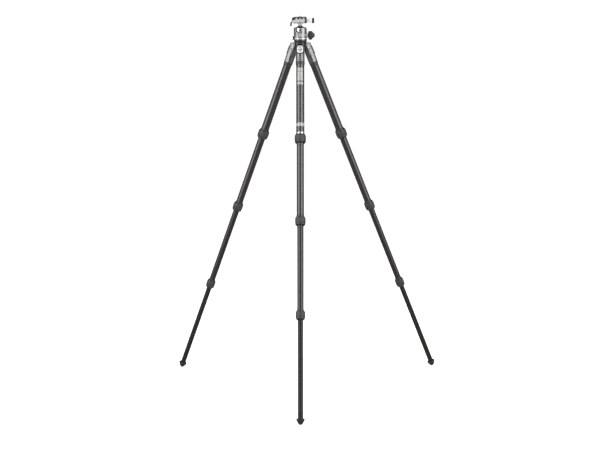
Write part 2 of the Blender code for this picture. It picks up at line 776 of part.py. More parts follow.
def build_head(tripod, looks):
    """The ball head below the clamp. The knobs lie on their own axes, under the housing."""
    place("pan_base", make_pan_base(looks["black metal"]), tripod)
    housing = place("housing", make_housing(looks["casting"]), tripod)
    place("ball_seat", make_ball_seat(looks["black plastic"]), housing)
    place("collar_ring", make_collar_ring(looks["black plastic"]), housing)
    knob_axis = make_empty(
        "main_knob_axis", housing, (0, 0, MAIN_KNOB_HEIGHT), along(MAIN_KNOB_AZIMUTH)
    )
    place("main_knob_shaft", make_main_knob_shaft(looks["steel"]), knob_axis)
    place("main_knob", make_main_knob(looks["rubber"]), knob_axis)
    place("friction_dial", make_friction_dial(looks["satin metal"]), knob_axis)
    pan_spot = (0, 0, PAN_KNOB_HEIGHT)
    place("pan_knob", make_pan_knob(looks["black metal"]), housing, pan_spot, along(PAN_KNOB_AZIMUTH))


def build_clamp(tripod, looks):
    """The ball and all that it carries, under an empty at the ball's centre."""
    centre = make_empty("ball_centre", tripod, (0, 0, BALL_HEIGHT))
    place("ball", make_ball(looks["chrome"]), centre)
    place("clamp_bolt", make_clamp_bolt(looks["steel"]), centre)
    place("clamp_base", make_clamp_base(looks["satin metal"]), centre)
    place("clamp_jaw", make_clamp_jaw(looks["black metal"]), centre)
    screw_axis = make_empty(
        "clamp_screw_axis", centre, (0, 0, CLAMP_SCREW_HEIGHT - BALL_HEIGHT), along(0)
    )
    place("clamp_screw", make_clamp_screw(looks["steel"]), screw_axis)
    place("clamp_knob", make_clamp_knob(looks["satin metal"]), screw_axis)
    pin_x, pin_z = LATCH_PIVOT
    latch_spot = (pin_x, 0, pin_z - BALL_HEIGHT)
    place("latch_lever", make_latch_lever(looks["casting"]), centre, latch_spot)
    place("latch_pin", make_latch_pin(looks["steel"]), centre, latch_spot)
    place("quick_release_plate", make_plate(looks["black metal"]), centre)
    place("plate_pad", make_plate_pad(looks["rubber"]), centre)
    place("camera_screw", make_camera_screw(looks["steel"]), centre)


def centre_footprint(tripod):
    """Moves the tripod so that the origin is at the centre of its footprint's box."""
    bpy.context.view_layer.update()
    parts = [obj for obj in bpy.data.objects if obj.type == "MESH"]
    corners = [obj.matrix_world @ v.co for obj in parts for v in obj.data.vertices]
    for axis in (0, 1):
        low = min(corner[axis] for corner in corners)
        high = max(corner[axis] for corner in corners)
        tripod.location[axis] = -(low + high) / 2


def main():
    clear_scene()
    looks = {
        "casting": make_material("casting", (0.30, 0.30, 0.32), 0.38, 0.9),
        "satin metal": make_material("satin_metal", (0.72, 0.72, 0.73), 0.32, 1.0),
        "black metal": make_material("black_metal", (0.02, 0.02, 0.022), 0.35, 0.6),
        "chrome": make_material("chrome", (0.80, 0.80, 0.82), 0.10, 1.0),
        "steel": make_material("steel", (0.55, 0.55, 0.57), 0.30, 1.0),
        "carbon": make_material("carbon", (0.035, 0.033, 0.030), 0.28, 0.0),
        "rubber": make_material("rubber", (0.025, 0.025, 0.027), 0.75, 0.0),
        "black plastic": make_material("black_plastic", (0.02, 0.02, 0.02), 0.5, 0.0),
        "vial": make_material("vial", (0.45, 0.75, 0.25), 0.08, 0.0),
    }
    tripod = make_empty("tripod")
    build_legs(tripod, looks)
    build_apex(tripod, looks)
    build_head(tripod, looks)
    build_clamp(tripod, looks)
    centre_footprint(tripod)


main()
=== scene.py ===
"""The finished look of the tripod, its ball head and its clamp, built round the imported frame.

Each leg is shaped in its own frame: the origin is the hip bolt's centre, +Z runs up the leg and
+X points outwards. A station is a distance down the leg from there. Everything is in metres.
"""

import json
import math

import bmesh
import bpy
from mathutils import Matrix, Vector

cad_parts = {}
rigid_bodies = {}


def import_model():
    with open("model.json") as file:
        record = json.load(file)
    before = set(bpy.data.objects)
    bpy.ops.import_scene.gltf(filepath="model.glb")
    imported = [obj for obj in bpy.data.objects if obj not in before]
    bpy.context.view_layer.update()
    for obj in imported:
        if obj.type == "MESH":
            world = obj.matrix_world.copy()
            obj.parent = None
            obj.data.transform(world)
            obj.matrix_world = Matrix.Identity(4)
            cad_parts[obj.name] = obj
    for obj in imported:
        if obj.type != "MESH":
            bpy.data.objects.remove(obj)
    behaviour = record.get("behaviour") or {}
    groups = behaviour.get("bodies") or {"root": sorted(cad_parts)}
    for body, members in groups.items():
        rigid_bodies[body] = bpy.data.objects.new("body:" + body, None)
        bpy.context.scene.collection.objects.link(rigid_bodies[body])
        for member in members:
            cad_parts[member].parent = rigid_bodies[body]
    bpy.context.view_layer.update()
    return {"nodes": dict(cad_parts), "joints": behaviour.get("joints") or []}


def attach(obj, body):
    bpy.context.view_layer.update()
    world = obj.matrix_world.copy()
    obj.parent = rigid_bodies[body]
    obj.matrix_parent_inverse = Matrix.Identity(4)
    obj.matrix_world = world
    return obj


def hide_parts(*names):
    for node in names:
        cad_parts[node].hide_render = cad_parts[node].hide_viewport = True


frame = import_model()
joints = {joint["name"]: joint for joint in frame["joints"]}

LEGS = (1, 2, 3)
LEG_BODIES = ("", "_section_2", "_section_3", "_section_4")

# The legs' own sizes
TUBE_RADII = (0.016, 0.014, 0.012, 0.010)
TUBE_WALL = 0.0015
TUBE_TOP = 0.0400
TUBE_OVERLAP = 0.050
LOCK_STATIONS = (0.3847, 0.7161, 1.0823)
LOCK_HALF = 0.018
LOCK_THICKNESS = 0.006
FERRULE_LENGTH = 0.0072
FERRULE_PROUD = 0.0007
FERRULE_DEPTH = 0.006
FOOT_STATION = 1.4823
FOOT_TOP = 0.0135
FOOT_BALL = 0.0105

# The station and length of each blank label, and of the plain band round the tube
LABELS = {
    "label_head": (0.0940, 0.0148),
    "label_panel": (0.1102, 0.0380),
    "label_badge": (0.1530, 0.0110),
}
LABEL_WIDTH = 0.0230
BAND = (0.322, 0.014)

# How glossy the lacquer is on each tube, from the top one down
LACQUER = (1.0, 0.85, 0.55, 0.20)

# The hips
SHOULDER_RADIUS = 0.018
SHOULDER_END = 0.067
SKIRT_END = 0.079
KNUCKLE_RADIUS = 0.0175
CHEEK_HALF = 0.016
CHEEK_FLAT = 0.00825
LUG_HALF = 0.0100
LUG_RADIUS = 0.0100
BOLT_RADIUS = 0.004
STOP_FLOOR = 0.0100

# The head, on the tripod's axis, and the clamp
HUB_TOP = 1.3882
PLATFORM_TOP = 1.3925
PAN_TOP = 1.3985
HOUSING_RADIUS = 0.026
HOUSING_TOP = 1.4460
BALL_RADIUS = 0.0195
STEM_RADIUS = 0.0075
STEM_TOP = 1.4617
SLEEVE_TOP = 1.4588
BORE_END = 1.4470
SPINDLE_TOP = 1.4070
SEAT_FLOOR = 1.4096
CUP_OFFSET = 0.034
NOTCH_HALF = 0.0082
NOTCH_AZIMUTH = math.radians(-110)
CLAMP_BOTTOM = 1.4620
CLAMP_FLOOR = 1.4765
JAW_TOP = 1.4845
CLAMP_HALF = 0.025
GROOVE_HALF = 0.0198
PLATE_HALF = 0.026
PLATE_TOP = 1.4862
FLANGE_UNDER = 1.4845
BOSS_RADIUS = 0.0078
BOSS_END = 0.0342
MAIN_KNOB_START = 0.0345
MAIN_KNOB_END = 0.0515
PAN_KNOB_END = 0.0385

# The socket screws' places across the axis and up: in the clamp, in its jaw and in the plate
CLAMP_SCREW = (-0.0234, 1.4788)
JAW_SCREW = (0.0225, 1.4668)
PLATE_SCREW = (-0.0058, 1.4812)

# The floor, the world's strength for each kind of ray, and the softboxes' power in watts
FLOOR_HALF = 14.0
FLOOR_GLOW = 0.60
LIGHT_FROM_ROOM = 0.50
ROOM_IN_GLOSS = 0.16
ROOM_IN_CAMERA = 1.05
SOFTBOX_AZIMUTH = 58
SOFTBOX_POWER = 102
FILL_POWER = 26
BACK_AZIMUTH = 155
BACK_POWER = 2.5

# The camera's place from the tripod's axis, its turns in radians, and its lens in millimetres
CAMERA_PLACE = (0.1672, -5.847, 1.467)
CAMERA_PAN = -0.0305
CAMERA_PITCH = -0.13779
CAMERA_ROLL = -0.01331
CAMERA_LENS = 87.80
CAMERA_SENSOR = 36

# The usual clearance, how many sides large, middling and small round shapes have, and the turn
# that lays a shape's Z axis along Y
GAP = 0.0003
ROUND = 96
MIDDLE = 64
SMALL = 40
TAU = 2 * math.pi
ACROSS = Matrix.Rotation(math.pi / 2, 4, "X")

AXIS = Vector(joints["base_pan"]["pos_m"])
AXIS.z = 0
HIP_HEIGHT = joints["leg_1_hip"]["pos_m"][2]
HIP_RADIUS = (Vector(joints["leg_1_hip"]["pos_m"]) - AXIS).xy.length
SPREADS = (-joints["leg_1_hip"]["range_deg"][0], 50.0, 80.0)  # where a leg's stop can rest
BALL_HEIGHT = joints["ball_tilt"]["pos_m"][2]
SCREW_HEIGHT = joints["clamp_knob_turn"]["pos_m"][2]
LATCH = Vector(joints["latch_press"]["pos_m"]) - AXIS


# ---- Mesh helpers


def new_object(name, data):
    obj = bpy.data.objects.new(name, data)
    bpy.context.scene.collection.objects.link(obj)
    return obj


def shape(bm):
    """Closes off a bmesh as an object, ready to be cut or joined."""
    bmesh.ops.recalc_face_normals(bm, faces=bm.faces)
    mesh = bpy.data.meshes.new("shape")
    bm.to_mesh(mesh)
    bm.free()
    return new_object("shape", mesh)


def lathe(outline, sides=ROUND, wave=None):
    """A solid of revolution about Z. A wave is a function of radius, height and angle that
    gives the radius there, for lobes and ribs."""
    bm = bmesh.new()
    rings = []
    for radius, height in outline:
        if radius == 0:
            rings.append([bm.verts.new((0, 0, height))] * sides)
            continue
        ring = []
        for k in range(sides):
            angle = TAU * k / sides
            reach = wave(radius, height, angle) if wave else radius
            ring.append(bm.verts.new((reach * math.cos(angle), reach * math.sin(angle), height)))
        rings.append(ring)
    for ring, after in zip(rings, rings[1:] + rings[:1]):
        for k in range(sides):
            n = (k + 1) % sides
            corners = list(dict.fromkeys((ring[k], ring[n], after[n], after[k])))
            if len(corners) > 2:
                bm.faces.new(corners)
    return shape(bm)


def prism(outline, low, high, axis="z"):
    """Extrudes a closed outline along an axis. Its numbers are the other two coordinates."""
    order = {"x": (2, 0, 1), "y": (0, 2, 1), "z": (0, 1, 2)}[axis]
    bm = bmesh.new()
    ends = []
    for height in (low, high):
        points = [(a, b, height) for a, b in outline]
        ends.append([bm.verts.new([p[i] for i in order]) for p in points])
    bm.faces.new(ends[0])
    bm.faces.new(reversed(ends[1]))
    count = len(outline)
    for k in range(count):
        n = (k + 1) % count
        bm.faces.new((ends[0][k], ends[0][n], ends[1][n], ends[1][k]))
    return shape(bm)


def block(x, y, z):
    return prism([(x[0], y[0]), (x[1], y[0]), (x[1], y[1]), (x[0], y[1])], z[0], z[1])


def arc(radius, start, end, steps, centre=(0, 0)):
    """Points on an arc, from a start to an end angle in degrees, both ends included."""
    points = []
    for k in range(steps + 1):
        angle = math.radians(start + (end - start) * k / steps)
        points.append((centre[0] + radius * math.cos(angle), centre[1] + radius * math.sin(angle)))
    return points


def rod(radius, low, high, axis="z", centre=(0, 0), sides=SMALL):
    return prism(arc(radius, 0, 360, sides, centre)[:-1], low, high, axis)


def rounded(outline, radius, steps=4):
    """An outline with its convex and concave corners rounded to a radius."""
    points = []
    count = len(outline)
    for k in range(count):
        corner = Vector(outline[k])
        back = Vector(outline[k - 1]) - corner
        ahead = Vector(outline[(k + 1) % count]) - corner
        half = back.angle(ahead) / 2
        reach = min(radius / math.tan(half), 0.45 * back.length, 0.45 * ahead.length)
        start, end = corner + back.normalized() * reach, corner + ahead.normalized() * reach
        for j in range(steps + 1):
            t = j / steps
            points.append((1 - t) ** 2 * start + 2 * t * (1 - t) * corner + t * t * end)
    return [tuple(p) for p in points]


def ring(radius, wire, around=ROUND, across=20):
    """A torus about Z."""
    outline = arc(wire, 0, 360, across, (radius, 0))[:-1]
    return lathe(outline, around)


def moved(obj, matrix):
    obj.data.transform(matrix)
    return obj


def turn(obj, azimuth):
    return moved(obj, Matrix.Rotation(azimuth, 4, "Z"))


def apply_modifiers(body):
    graph = bpy.context.evaluated_depsgraph_get()
    mesh = bpy.data.meshes.new_from_object(body.evaluated_get(graph))
    body.modifiers.clear()
    body.data = mesh


def combine(body, operation, *tools):
    """Cuts a body with tools, joins them to it, or keeps what they share. The tools are used up."""
    for tool in tools:
        modifier = body.modifiers.new("combine", "BOOLEAN")
        modifier.operation = operation
        modifier.object = tool
        modifier.solver = "EXACT"
    apply_modifiers(body)
    for tool in tools:
        bpy.data.objects.remove(tool)
    return body


def cut(body, *tools):
    return combine(body, "DIFFERENCE", *tools)


def join(body, *tools):
    return combine(body, "UNION", *tools)


def keep(body, *tools):
    return combine(body, "INTERSECT", *tools)


def each_side(near, far):
    """A span along an axis and the same one mirrored, each from its low end to its high one."""
    return (-far, -near), (near, far)


def copy_of(body):
    return new_object("shape", body.data.copy())


def finish_mesh(body, look, bevel=0.0):
    """Smooths a shape's mesh, softens its edges if asked, and gives it its material."""
    if bevel:
        modifier = body.modifiers.new("bevel", "BEVEL")
        modifier.width = bevel
        modifier.segments = 2
        modifier.limit_method = "ANGLE"
        modifier.angle_limit = math.radians(40)
        apply_modifiers(body)
    mesh = body.data
    mesh.materials.clear()
    mesh.materials.append(LOOKS[look])
    mesh.shade_smooth()
    mesh.set_sharp_from_angle(angle=math.radians(30))
    return mesh


def show(name, mesh, matrix, body, replaces=()):
    """Sets a finished mesh in place, on its CAD body."""
    obj = new_object(name, mesh)
    obj.matrix_world = matrix
    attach(obj, body)
    if replaces:
        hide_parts(*replaces)


def one(name, body, look, on, replaces=(), where=None):
    """Finishes a shape that is used once and sets it in place, on the tripod's axis by default."""
    mesh = finish_mesh(body, look)
    bpy.data.objects.remove(body)
    show(name, mesh, where or on_axis(), on, replaces)


def leg_frame(number):
    """The matrix of a leg's own frame: out from the tripod, across, and up the leg."""
    up = -Vector(joints[f"leg_{number}_slide_2"]["axis"]).normalized()
    across = -Vector(joints[f"leg_{number}_hip"]["axis"]).normalized()
    out = across.cross(up)
    matrix = Matrix((out, across, up)).transposed().to_4x4()
    matrix.translation = Vector(joints[f"leg_{number}_hip"]["pos_m"])
    return matrix


def down_leg(station):
    return Matrix.Translation((0, 0, -station))


def on_axis(height=0.0):
    return Matrix.Translation(AXIS + Vector((0, 0, height)))


def along(azimuth, height):
    """A frame whose +Z runs level from the tripod's axis, towards an azimuth."""
    return on_axis(height) @ Matrix.Rotation(azimuth, 4, "Z") @ Matrix.Rotation(math.pi / 2, 4, "Y")


# ---- Materials


def shade(colour, factor):
    return tuple(min(1.0, c * factor) for c in colour)


class Look:
    """A material under construction, with short ways to add its nodes."""

    def __init__(self, name, colour, roughness, metallic=0.0, **sockets):
        self.material = bpy.data.materials.new(name)
        self.material.use_nodes = True
        self.nodes = self.material.node_tree.nodes
        self.links = self.material.node_tree.links
        self.shader = self.nodes["Principled BSDF"]
        self.shader.inputs["Base Color"].default_value = (*colour, 1)
        self.shader.inputs["Roughness"].default_value = roughness
        self.shader.inputs["Metallic"].default_value = metallic
        for socket, value in sockets.items():
            self.shader.inputs[socket.replace("_", " ")].default_value = value
        self.place = self.nodes.new("ShaderNodeTexCoord").outputs["Object"]

    def node(self, kind, inputs=None, **settings):
        node = self.nodes.new("ShaderNode" + kind)
        for key, value in settings.items():
            setattr(node, key, value)
        for key, value in (inputs or {}).items():
            if isinstance(value, bpy.types.NodeSocket):
                self.links.new(value, node.inputs[key])
            else:
                node.inputs[key].default_value = value
        return node

    def math(self, operation, a, b=0.0, c=0.0):
        return self.node("Math", {0: a, 1: b, 2: c}, operation=operation).outputs[0]

    def noise(self, scale, detail=4.0, where=None):
        inputs = {"Vector": where or self.place, "Scale": scale, "Detail": detail}
        return self.node("TexNoise", {**inputs, "Roughness": 0.55}).outputs["Fac"]

    def stretch(self, x, y, z):
        """The object's coordinates, scaled along each axis."""
        inputs = {0: self.place, 1: (x, y, z)}
        return self.node("VectorMath", inputs, operation="MULTIPLY").outputs[0]

    def span(self, value, low, high, start=0.0, end=1.0):
        inputs = {"Value": value, "From Min": start, "From Max": end, "To Min": low, "To Max": high}
        return self.node("MapRange", inputs).outputs["Result"]

    def mix(self, factor, first, second):
        node = self.node("Mix", {"Factor": factor}, data_type="RGBA")
        for key, value in ((6, first), (7, second)):
            if isinstance(value, bpy.types.NodeSocket):
                self.links.new(value, node.inputs[key])
            else:
                node.inputs[key].default_value = (*value, 1)
        return node.outputs[2]

    def bump(self, height, strength, distance):
        inputs = {"Height": height, "Strength": strength, "Distance": distance}
        return self.node("Bump", inputs).outputs["Normal"]

    def set(self, socket, value):
        self.links.new(value, self.shader.inputs[socket])

    def finish(self, colour, roughness, height, strength, distance):
        """Links the colour, the roughness and a bump, and gives back the finished material."""
        self.set("Base Color", colour)
        self.set("Roughness", roughness)
        self.set("Normal", self.bump(height, strength, distance))
        return self.material

    def cylinder(self):
        """Each point's angle about Z in turns from 0 to 1, its height and its radius."""
        x, y, height = self.node("SeparateXYZ", {0: self.place}).outputs
        turns = self.math("MULTIPLY_ADD", self.math("ARCTAN2", y, x), 1 / TAU, 0.5)
        radius = self.math("SQRT", self.math("MULTIPLY_ADD", x, x, self.math("MULTIPLY", y, y)))
        return turns, height, radius


def anodised(name, colour, roughness, metallic=1.0, shade_below=1.0):
    """Bead-blasted and anodised metal: a fine grain, soft blotches and faint rub marks. Faces
    that point down can be painted darker: painted shade under the part."""
    look = Look(name, colour, roughness, metallic)
    blotch = look.noise(70.0, 3.0)
    rub = look.noise(1.0, 6.0, look.stretch(900.0, 900.0, 90.0))
    tone = look.mix(look.span(blotch, 0.0, 1.0, 0.3, 0.7), shade(colour, 0.82), shade(colour, 1.12))
    # Painted shade: faces that point down are darkened by a factor.
    if shade_below < 1:
        facing = look.node("SeparateXYZ", {0: look.nodes["Texture Coordinate"].outputs["Normal"]})
        below = look.math("LESS_THAN", facing.outputs["Z"], -0.6)
        tone = look.mix(below, tone, shade(colour, shade_below))
    uneven = look.math("ADD", look.span(blotch, -0.05, 0.05), look.span(rub, -0.06, 0.06))
    uneven = look.math("ADD", uneven, roughness)
    return look.finish(tone, uneven, look.noise(2600.0, 2.0), 0.12, 0.0001)


def turned_metal(name, colour, roughness):
    """Lathe-turned metal: fine rings along its axis, and slight colour drift."""
    look = Look(name, colour, roughness, 1.0)
    _, height, radius = look.cylinder()
    pitch = 0.00045
    rings = look.math("SINE", look.math("MULTIPLY", look.math("ADD", height, radius), TAU / pitch))
    drift = look.noise(60.0, 3.0)
    tone = look.mix(drift, shade(colour, 0.88), shade(colour, 1.08))
    uneven = look.span(drift, roughness - 0.05, roughness + 0.07)
    return look.finish(tone, uneven, rings, 0.10, 0.00004)


def rubber(name, colour, roughness):
    """Moulded rubber: a pebbled skin, dull patches from handling and a little pale dust."""
    look = Look(name, colour, roughness)
    patches = look.noise(45.0, 5.0)
    pebbles = look.node("TexVoronoi", {"Vector": look.place, "Scale": 1400.0}).outputs["Distance"]
    dust = look.span(look.noise(380.0, 6.0), 0.0, 0.25, 0.60, 0.85)
    worn = look.mix(look.span(patches, 0.0, 1.0, 0.35, 0.65), colour, shade(colour, 1.7))
    dusty = look.mix(dust, worn, (0.045, 0.044, 0.042))
    uneven = look.span(patches, roughness - 0.08, roughness + 0.10)
    return look.finish(dusty, uneven, pebbles, 0.25, 0.0001)


def moulded(name, colour, roughness):
    """Moulded plastic with a fine spark-eroded grain."""
    look = Look(name, colour, roughness)
    patches = look.noise(60.0, 4.0)
    tone = look.mix(patches, colour, shade(colour, 1.5))
    uneven = look.span(patches, roughness - 0.06, roughness + 0.08)
    return look.finish(tone, uneven, look.noise(1900.0, 3.0), 0.15, 0.0001)


def carbon(name, radius, gloss):
    """Twill-woven carbon under clear lacquer of some gloss, wrapped round a tube of a radius."""
    look = Look(name, (0.02, 0.019, 0.017), 0.30, 0.0, Specular_IOR_Level=0.5 * gloss,
                Coat_Weight=gloss, Coat_Roughness=0.20)
    turns, height, _ = look.cylinder()
    tow = 0.0019
    tows_round = 4 * round(TAU * radius / (tow * math.sqrt(2)) / 4)
    u = look.math("MULTIPLY", turns, float(tows_round))
    v = look.math("MULTIPLY", height, 1 / (tow * math.sqrt(2)))
    warp = look.math("ADD", u, v)
    weft = look.math("SUBTRACT", u, v)
    order = look.math("ADD", look.math("FLOOR", warp), look.math("FLOOR", weft))
    over = look.math("LESS_THAN", look.math("FLOORED_MODULO", order, 4.0), 1.5)
    across_warp = look.math("FRACT", weft)
    across_weft = look.math("FRACT", warp)
    across = look.math("ADD", look.math("MULTIPLY", across_warp, over),
                       look.math("MULTIPLY", across_weft, look.math("SUBTRACT", 1.0, over)))
    crown = look.math("SINE", look.math("MULTIPLY", across, math.pi))
    streaks = look.noise(1.0, 5.0, look.stretch(260.0, 260.0, 36.0))
    # The weft tows are painted lighter than the warp tows: a painted sheen that follows the tows'
    # direction.
    warp_tone = look.mix(streaks, (0.0070, 0.0064, 0.0055), (0.0200, 0.0182, 0.0152))
    weft_tone = look.mix(streaks, (0.0110, 0.0101, 0.0086), (0.0330, 0.0298, 0.0246))
    woven = look.mix(over, warp_tone, weft_tone)
    # Each tow darkens towards its edges: painted shade where it dips under the next.
    shaded = look.mix(look.span(crown, 0.0, 1.0, 0.1, 0.7), (0.005, 0.0047, 0.0043), woven)
    look.set("Coat Normal", look.bump(look.noise(90.0, 2.0), 0.05, 0.0004))
    return look.finish(shaded, look.math("MULTIPLY_ADD", over, 0.10, 0.30), crown, 0.35, 0.00012)


def printed(name, colour, roughness):
    """A pale foil label with no print on it: faint grain and handling marks."""
    look = Look(name, colour, roughness, 0.35)
    marks = look.noise(1.0, 5.0, look.stretch(300.0, 300.0, 60.0))
    tone = look.mix(marks, shade(colour, 0.85), colour)
    uneven = look.span(marks, roughness - 0.05, roughness + 0.10)
    return look.finish(tone, uneven, look.noise(2400.0, 2.0), 0.08, 0.00006)


def polished(name, colour, roughness):
    """Polished chrome with faint swirl marks."""
    look = Look(name, colour, roughness, 1.0)
    swirl = look.noise(1.0, 8.0, look.stretch(140.0, 140.0, 900.0))
    tone = look.mix(swirl, shade(colour, 0.93), colour)
    uneven = look.span(swirl, roughness, roughness + 0.07, 0.4, 0.8)
    return look.finish(tone, uneven, swirl, 0.02, 0.00005)


def pan_scale(name, colour, roughness):
    """Black anodised metal with a ring of engraved ticks round its rim."""
    look = Look(name, colour, roughness, 0.6)
    turns, height, radius = look.cylinder()

    def ticks(count, shift, half_width):
        phase = look.math("FRACT", look.math("MULTIPLY_ADD", turns, count, shift))
        off = look.math("ABSOLUTE", look.math("SUBTRACT", phase, 0.5))
        return look.math("LESS_THAN", off, half_width)

    tick, long = ticks(72.0, 0.0, 0.09), ticks(12.0, 0.5 - 6 / 72, 0.04)
    reach = look.math("MULTIPLY_ADD", long, 0.0010, PLATFORM_TOP + 0.0026)
    low_enough = look.math("LESS_THAN", height, reach)
    on_rim = look.math("GREATER_THAN", radius, 0.0259)
    mark = look.math("MULTIPLY", look.math("MULTIPLY", tick, low_enough), on_rim)
    tone = look.mix(mark, colour, (0.55, 0.55, 0.55))
    uneven = look.span(look.noise(70.0, 3.0), roughness - 0.05, roughness + 0.08)
    return look.finish(tone, uneven, look.noise(2600.0, 2.0), 0.12, 0.0001)


def spirit(name):
    """The level's coloured spirit, seen through its lens."""
    look = Look(name, (0.42, 0.70, 0.16), 0.05, 0.0, Coat_Weight=1.0, Coat_Roughness=0.03)
    depth = look.noise(220.0, 2.0)
    look.set("Base Color", look.mix(depth, (0.34, 0.62, 0.10), (0.55, 0.82, 0.25)))
    return look.material


LOOKS = {
    "casting": anodised("grey_casting", (0.265, 0.265, 0.278), 0.36, metallic=0.85),
    # A paler, less metallic copy of the casting for the cheek plates: a painted highlight.
    "shoulder": anodised("dark_casting", (0.17, 0.168, 0.165), 0.34, metallic=0.85),
    "cheek": anodised("cheek_oval", (0.30, 0.30, 0.315), 0.46, metallic=0.55),
    "silver": anodised("silver_anodised", (0.74, 0.74, 0.75), 0.32, metallic=0.7),
    # The clamp's downward faces are painted near-black: painted shade under the clamp.
    "clamp": anodised("clamp_anodised", (0.76, 0.76, 0.77), 0.34, metallic=0.7, shade_below=0.05),
    "dark": anodised("dark_anodised", (0.060, 0.060, 0.064), 0.38, metallic=0.6),
    # Pale grey: the stem sleeve's own colour, and a painted highlight on the knob's boss and its
    # pad.
    "light": anodised("light_anodised", (0.38, 0.38, 0.395), 0.44, metallic=0.6),
    # The tab is made paler and less metallic so that it stays bright: partly its own colour, partly
    # a painted highlight.
    "tab": anodised("bright_tab", (0.45, 0.45, 0.45), 0.42, metallic=0.35),
    "black": anodised("black_anodised", (0.014, 0.014, 0.015), 0.40, metallic=0.3),
    "scale": pan_scale("pan_scale", (0.026, 0.026, 0.028), 0.36),
    "steel": turned_metal("turned_steel", (0.60, 0.60, 0.61), 0.26),
    "bolt": turned_metal("hip_bolt_steel", (0.30, 0.30, 0.31), 0.34),
    "ferrule": turned_metal("turned_aluminium", (0.55, 0.55, 0.55), 0.30),
    "chrome": polished("chrome", (0.84, 0.84, 0.85), 0.07),
    "rubber": rubber("pad_rubber", (0.006, 0.006, 0.0065), 0.60),
    "grip": rubber("knob_rubber", (0.007, 0.007, 0.0075), 0.50),
    "lock": rubber("lock_rubber", (0.018, 0.018, 0.0195), 0.42),
    "foot": rubber("foot_rubber", (0.008, 0.008, 0.0085), 0.60),
    "plastic": moulded("black_plastic", (0.008, 0.008, 0.0085), 0.40),
    "label": printed("blank_label", (0.33, 0.325, 0.31), 0.42),
    # Near-black grey for the tab's groove: painted shade.
    "strip": anodised("strip_grey", (0.035, 0.035, 0.037), 0.45, metallic=0.4),
    "bright": anodised("bright_anodised", (0.86, 0.86, 0.86), 0.36, metallic=0.3),
    # Near-black: the socket screws' own colour, and painted shade on the fixed jaw and in the
    # plate's pockets.
    "deep": moulded("deep_black", (0.0012, 0.0012, 0.0013), 0.75),
    "spirit": spirit("spirit"),
}
for k, sizes in enumerate(zip(TUBE_RADII, LACQUER), 1):
    LOOKS[f"carbon_{k}"] = carbon(f"carbon_{k}", *sizes)


# ---- Legs


def tube_top(number):
    return TUBE_TOP if number == 0 else LOCK_STATIONS[number - 1] - TUBE_OVERLAP


def tube_mesh(number):
    """A carbon section with eased ends, from its top down."""
    radius = TUBE_RADII[number]
    bore = radius - TUBE_WALL
    if number < len(LOCK_STATIONS):
        end = LOCK_STATIONS[number] + FERRULE_DEPTH - tube_top(number)
    else:
        end = FOOT_STATION - FOOT_TOP - GAP - tube_top(number)
    ease = 0.0004
    outline = [
        (bore, 0), (radius - ease, 0), (radius, -ease), (radius, -end + ease),
        (radius - ease, -end), (bore, -end),
    ]
    return finish_mesh(lathe(outline), f"carbon_{number + 1}")


def ferrule_mesh(number, look):
    """The ring that shows above a lock, with a groove turned in it."""
    inner, outer = TUBE_RADII[number] + 0.00005, TUBE_RADII[number] + FERRULE_PROUD
    top, end = LOCK_HALF + FERRULE_LENGTH, LOCK_HALF - 0.004
    groove = top - 0.0016
    outline = [
        (inner, top), (outer - 0.0003, top), (outer, top - 0.0003), (outer, groove + 0.0002),
        (outer - 0.00025, groove), (outer, groove - 0.0002), (outer, end), (inner, end),
    ]
    return finish_mesh(lathe(outline), look)


def lock_core_mesh(number):
    """The lock's hard collar: its top lip, and the lower rim below the grip."""
    upper, lower = TUBE_RADII[number], TUBE_RADII[number + 1]
    outer = upper + LOCK_THICKNESS
    step = -FERRULE_DEPTH - 0.0005
    wide, narrow = upper + FERRULE_PROUD + 0.0005, lower + 0.00045
    outline = [
        (wide, LOCK_HALF), (upper + 0.0022, LOCK_HALF), (upper + 0.0027, LOCK_HALF - 0.0005),
        (outer - 0.0030, 0.0140), (outer - 0.0030, -0.0150), (lower + 0.0031, -LOCK_HALF + 0.0005),
        (lower + 0.0026, -LOCK_HALF), (narrow, -LOCK_HALF), (narrow, step), (wide, step),
    ]
    return finish_mesh(lathe(outline), "plastic")


def lock_grip_mesh(number):
    """The rubber sleeve, with shallow flutes all round."""
    upper = TUBE_RADII[number]
    outer = upper + LOCK_THICKNESS
    flutes, depth = 20 + 2 * (len(TUBE_RADII) - number), 0.00045

    def flute(radius, height, angle):
        if radius < outer - 0.0012 or not -0.0070 < height < 0.0118:
            return radius
        return radius - depth * max(0.0, math.cos(flutes * angle)) ** 6

    outline = [
        (upper + 0.0032, 0.0166), (upper + 0.0038, 0.0168), (outer - 0.0020, 0.0149),
        (outer - 0.0006, 0.0128), (outer - 0.0001, 0.0119), (outer, 0.0112), (outer, 0.0104),
        (outer, 0.0040), (outer, -0.0058), (outer - 0.0002, -0.0068), (outer - 0.0007, -0.0074),
        (outer - 0.0013, -0.0078), (outer - 0.0010, -0.0083), (outer - 0.0010, -0.0130),
        (outer - 0.0016, -0.0142), (outer - 0.0029, -0.0146), (outer - 0.0029, 0.0136),
    ]
    return finish_mesh(lathe(outline, flutes * 8, flute), "lock")


def recess_outline(inset):
    """The round-ended recess for the stop, drawn in by an inset for the black sheet of painted
    shade inside it.
    """
    half, length, middle, top, steps = 0.0152 - inset, 0.0168 - inset, -0.022, 0.0009, 32
    angles = [math.pi * (k / steps - 0.5) for k in range(steps + 1)]
    end = [(half * math.sin(a), middle - length * math.cos(a)) for a in angles]
    return [(-half, top)] + end + [(half, top)]


def recess_shade_mesh():
    """A black sheet in the stop's recess, with a rim that stands a little out of the casting:
    painted shade in the recess.
    """
    body = prism(recess_outline(0.0001), STOP_FLOOR + 0.00005, 0.03, "x")
    cut(body, prism(recess_outline(0.0010), STOP_FLOOR + 0.0002, 0.03, "x"))
    cut(body, block((0, 0.03), (-0.0135, 0.0135), (-0.0188, 0.03)))
    keep(body, lathe([(0, 0.0003), (0.0203, 0.0003), (0.0203, -0.0400), (0, -0.0400)]))
    return finish_mesh(body, "black")


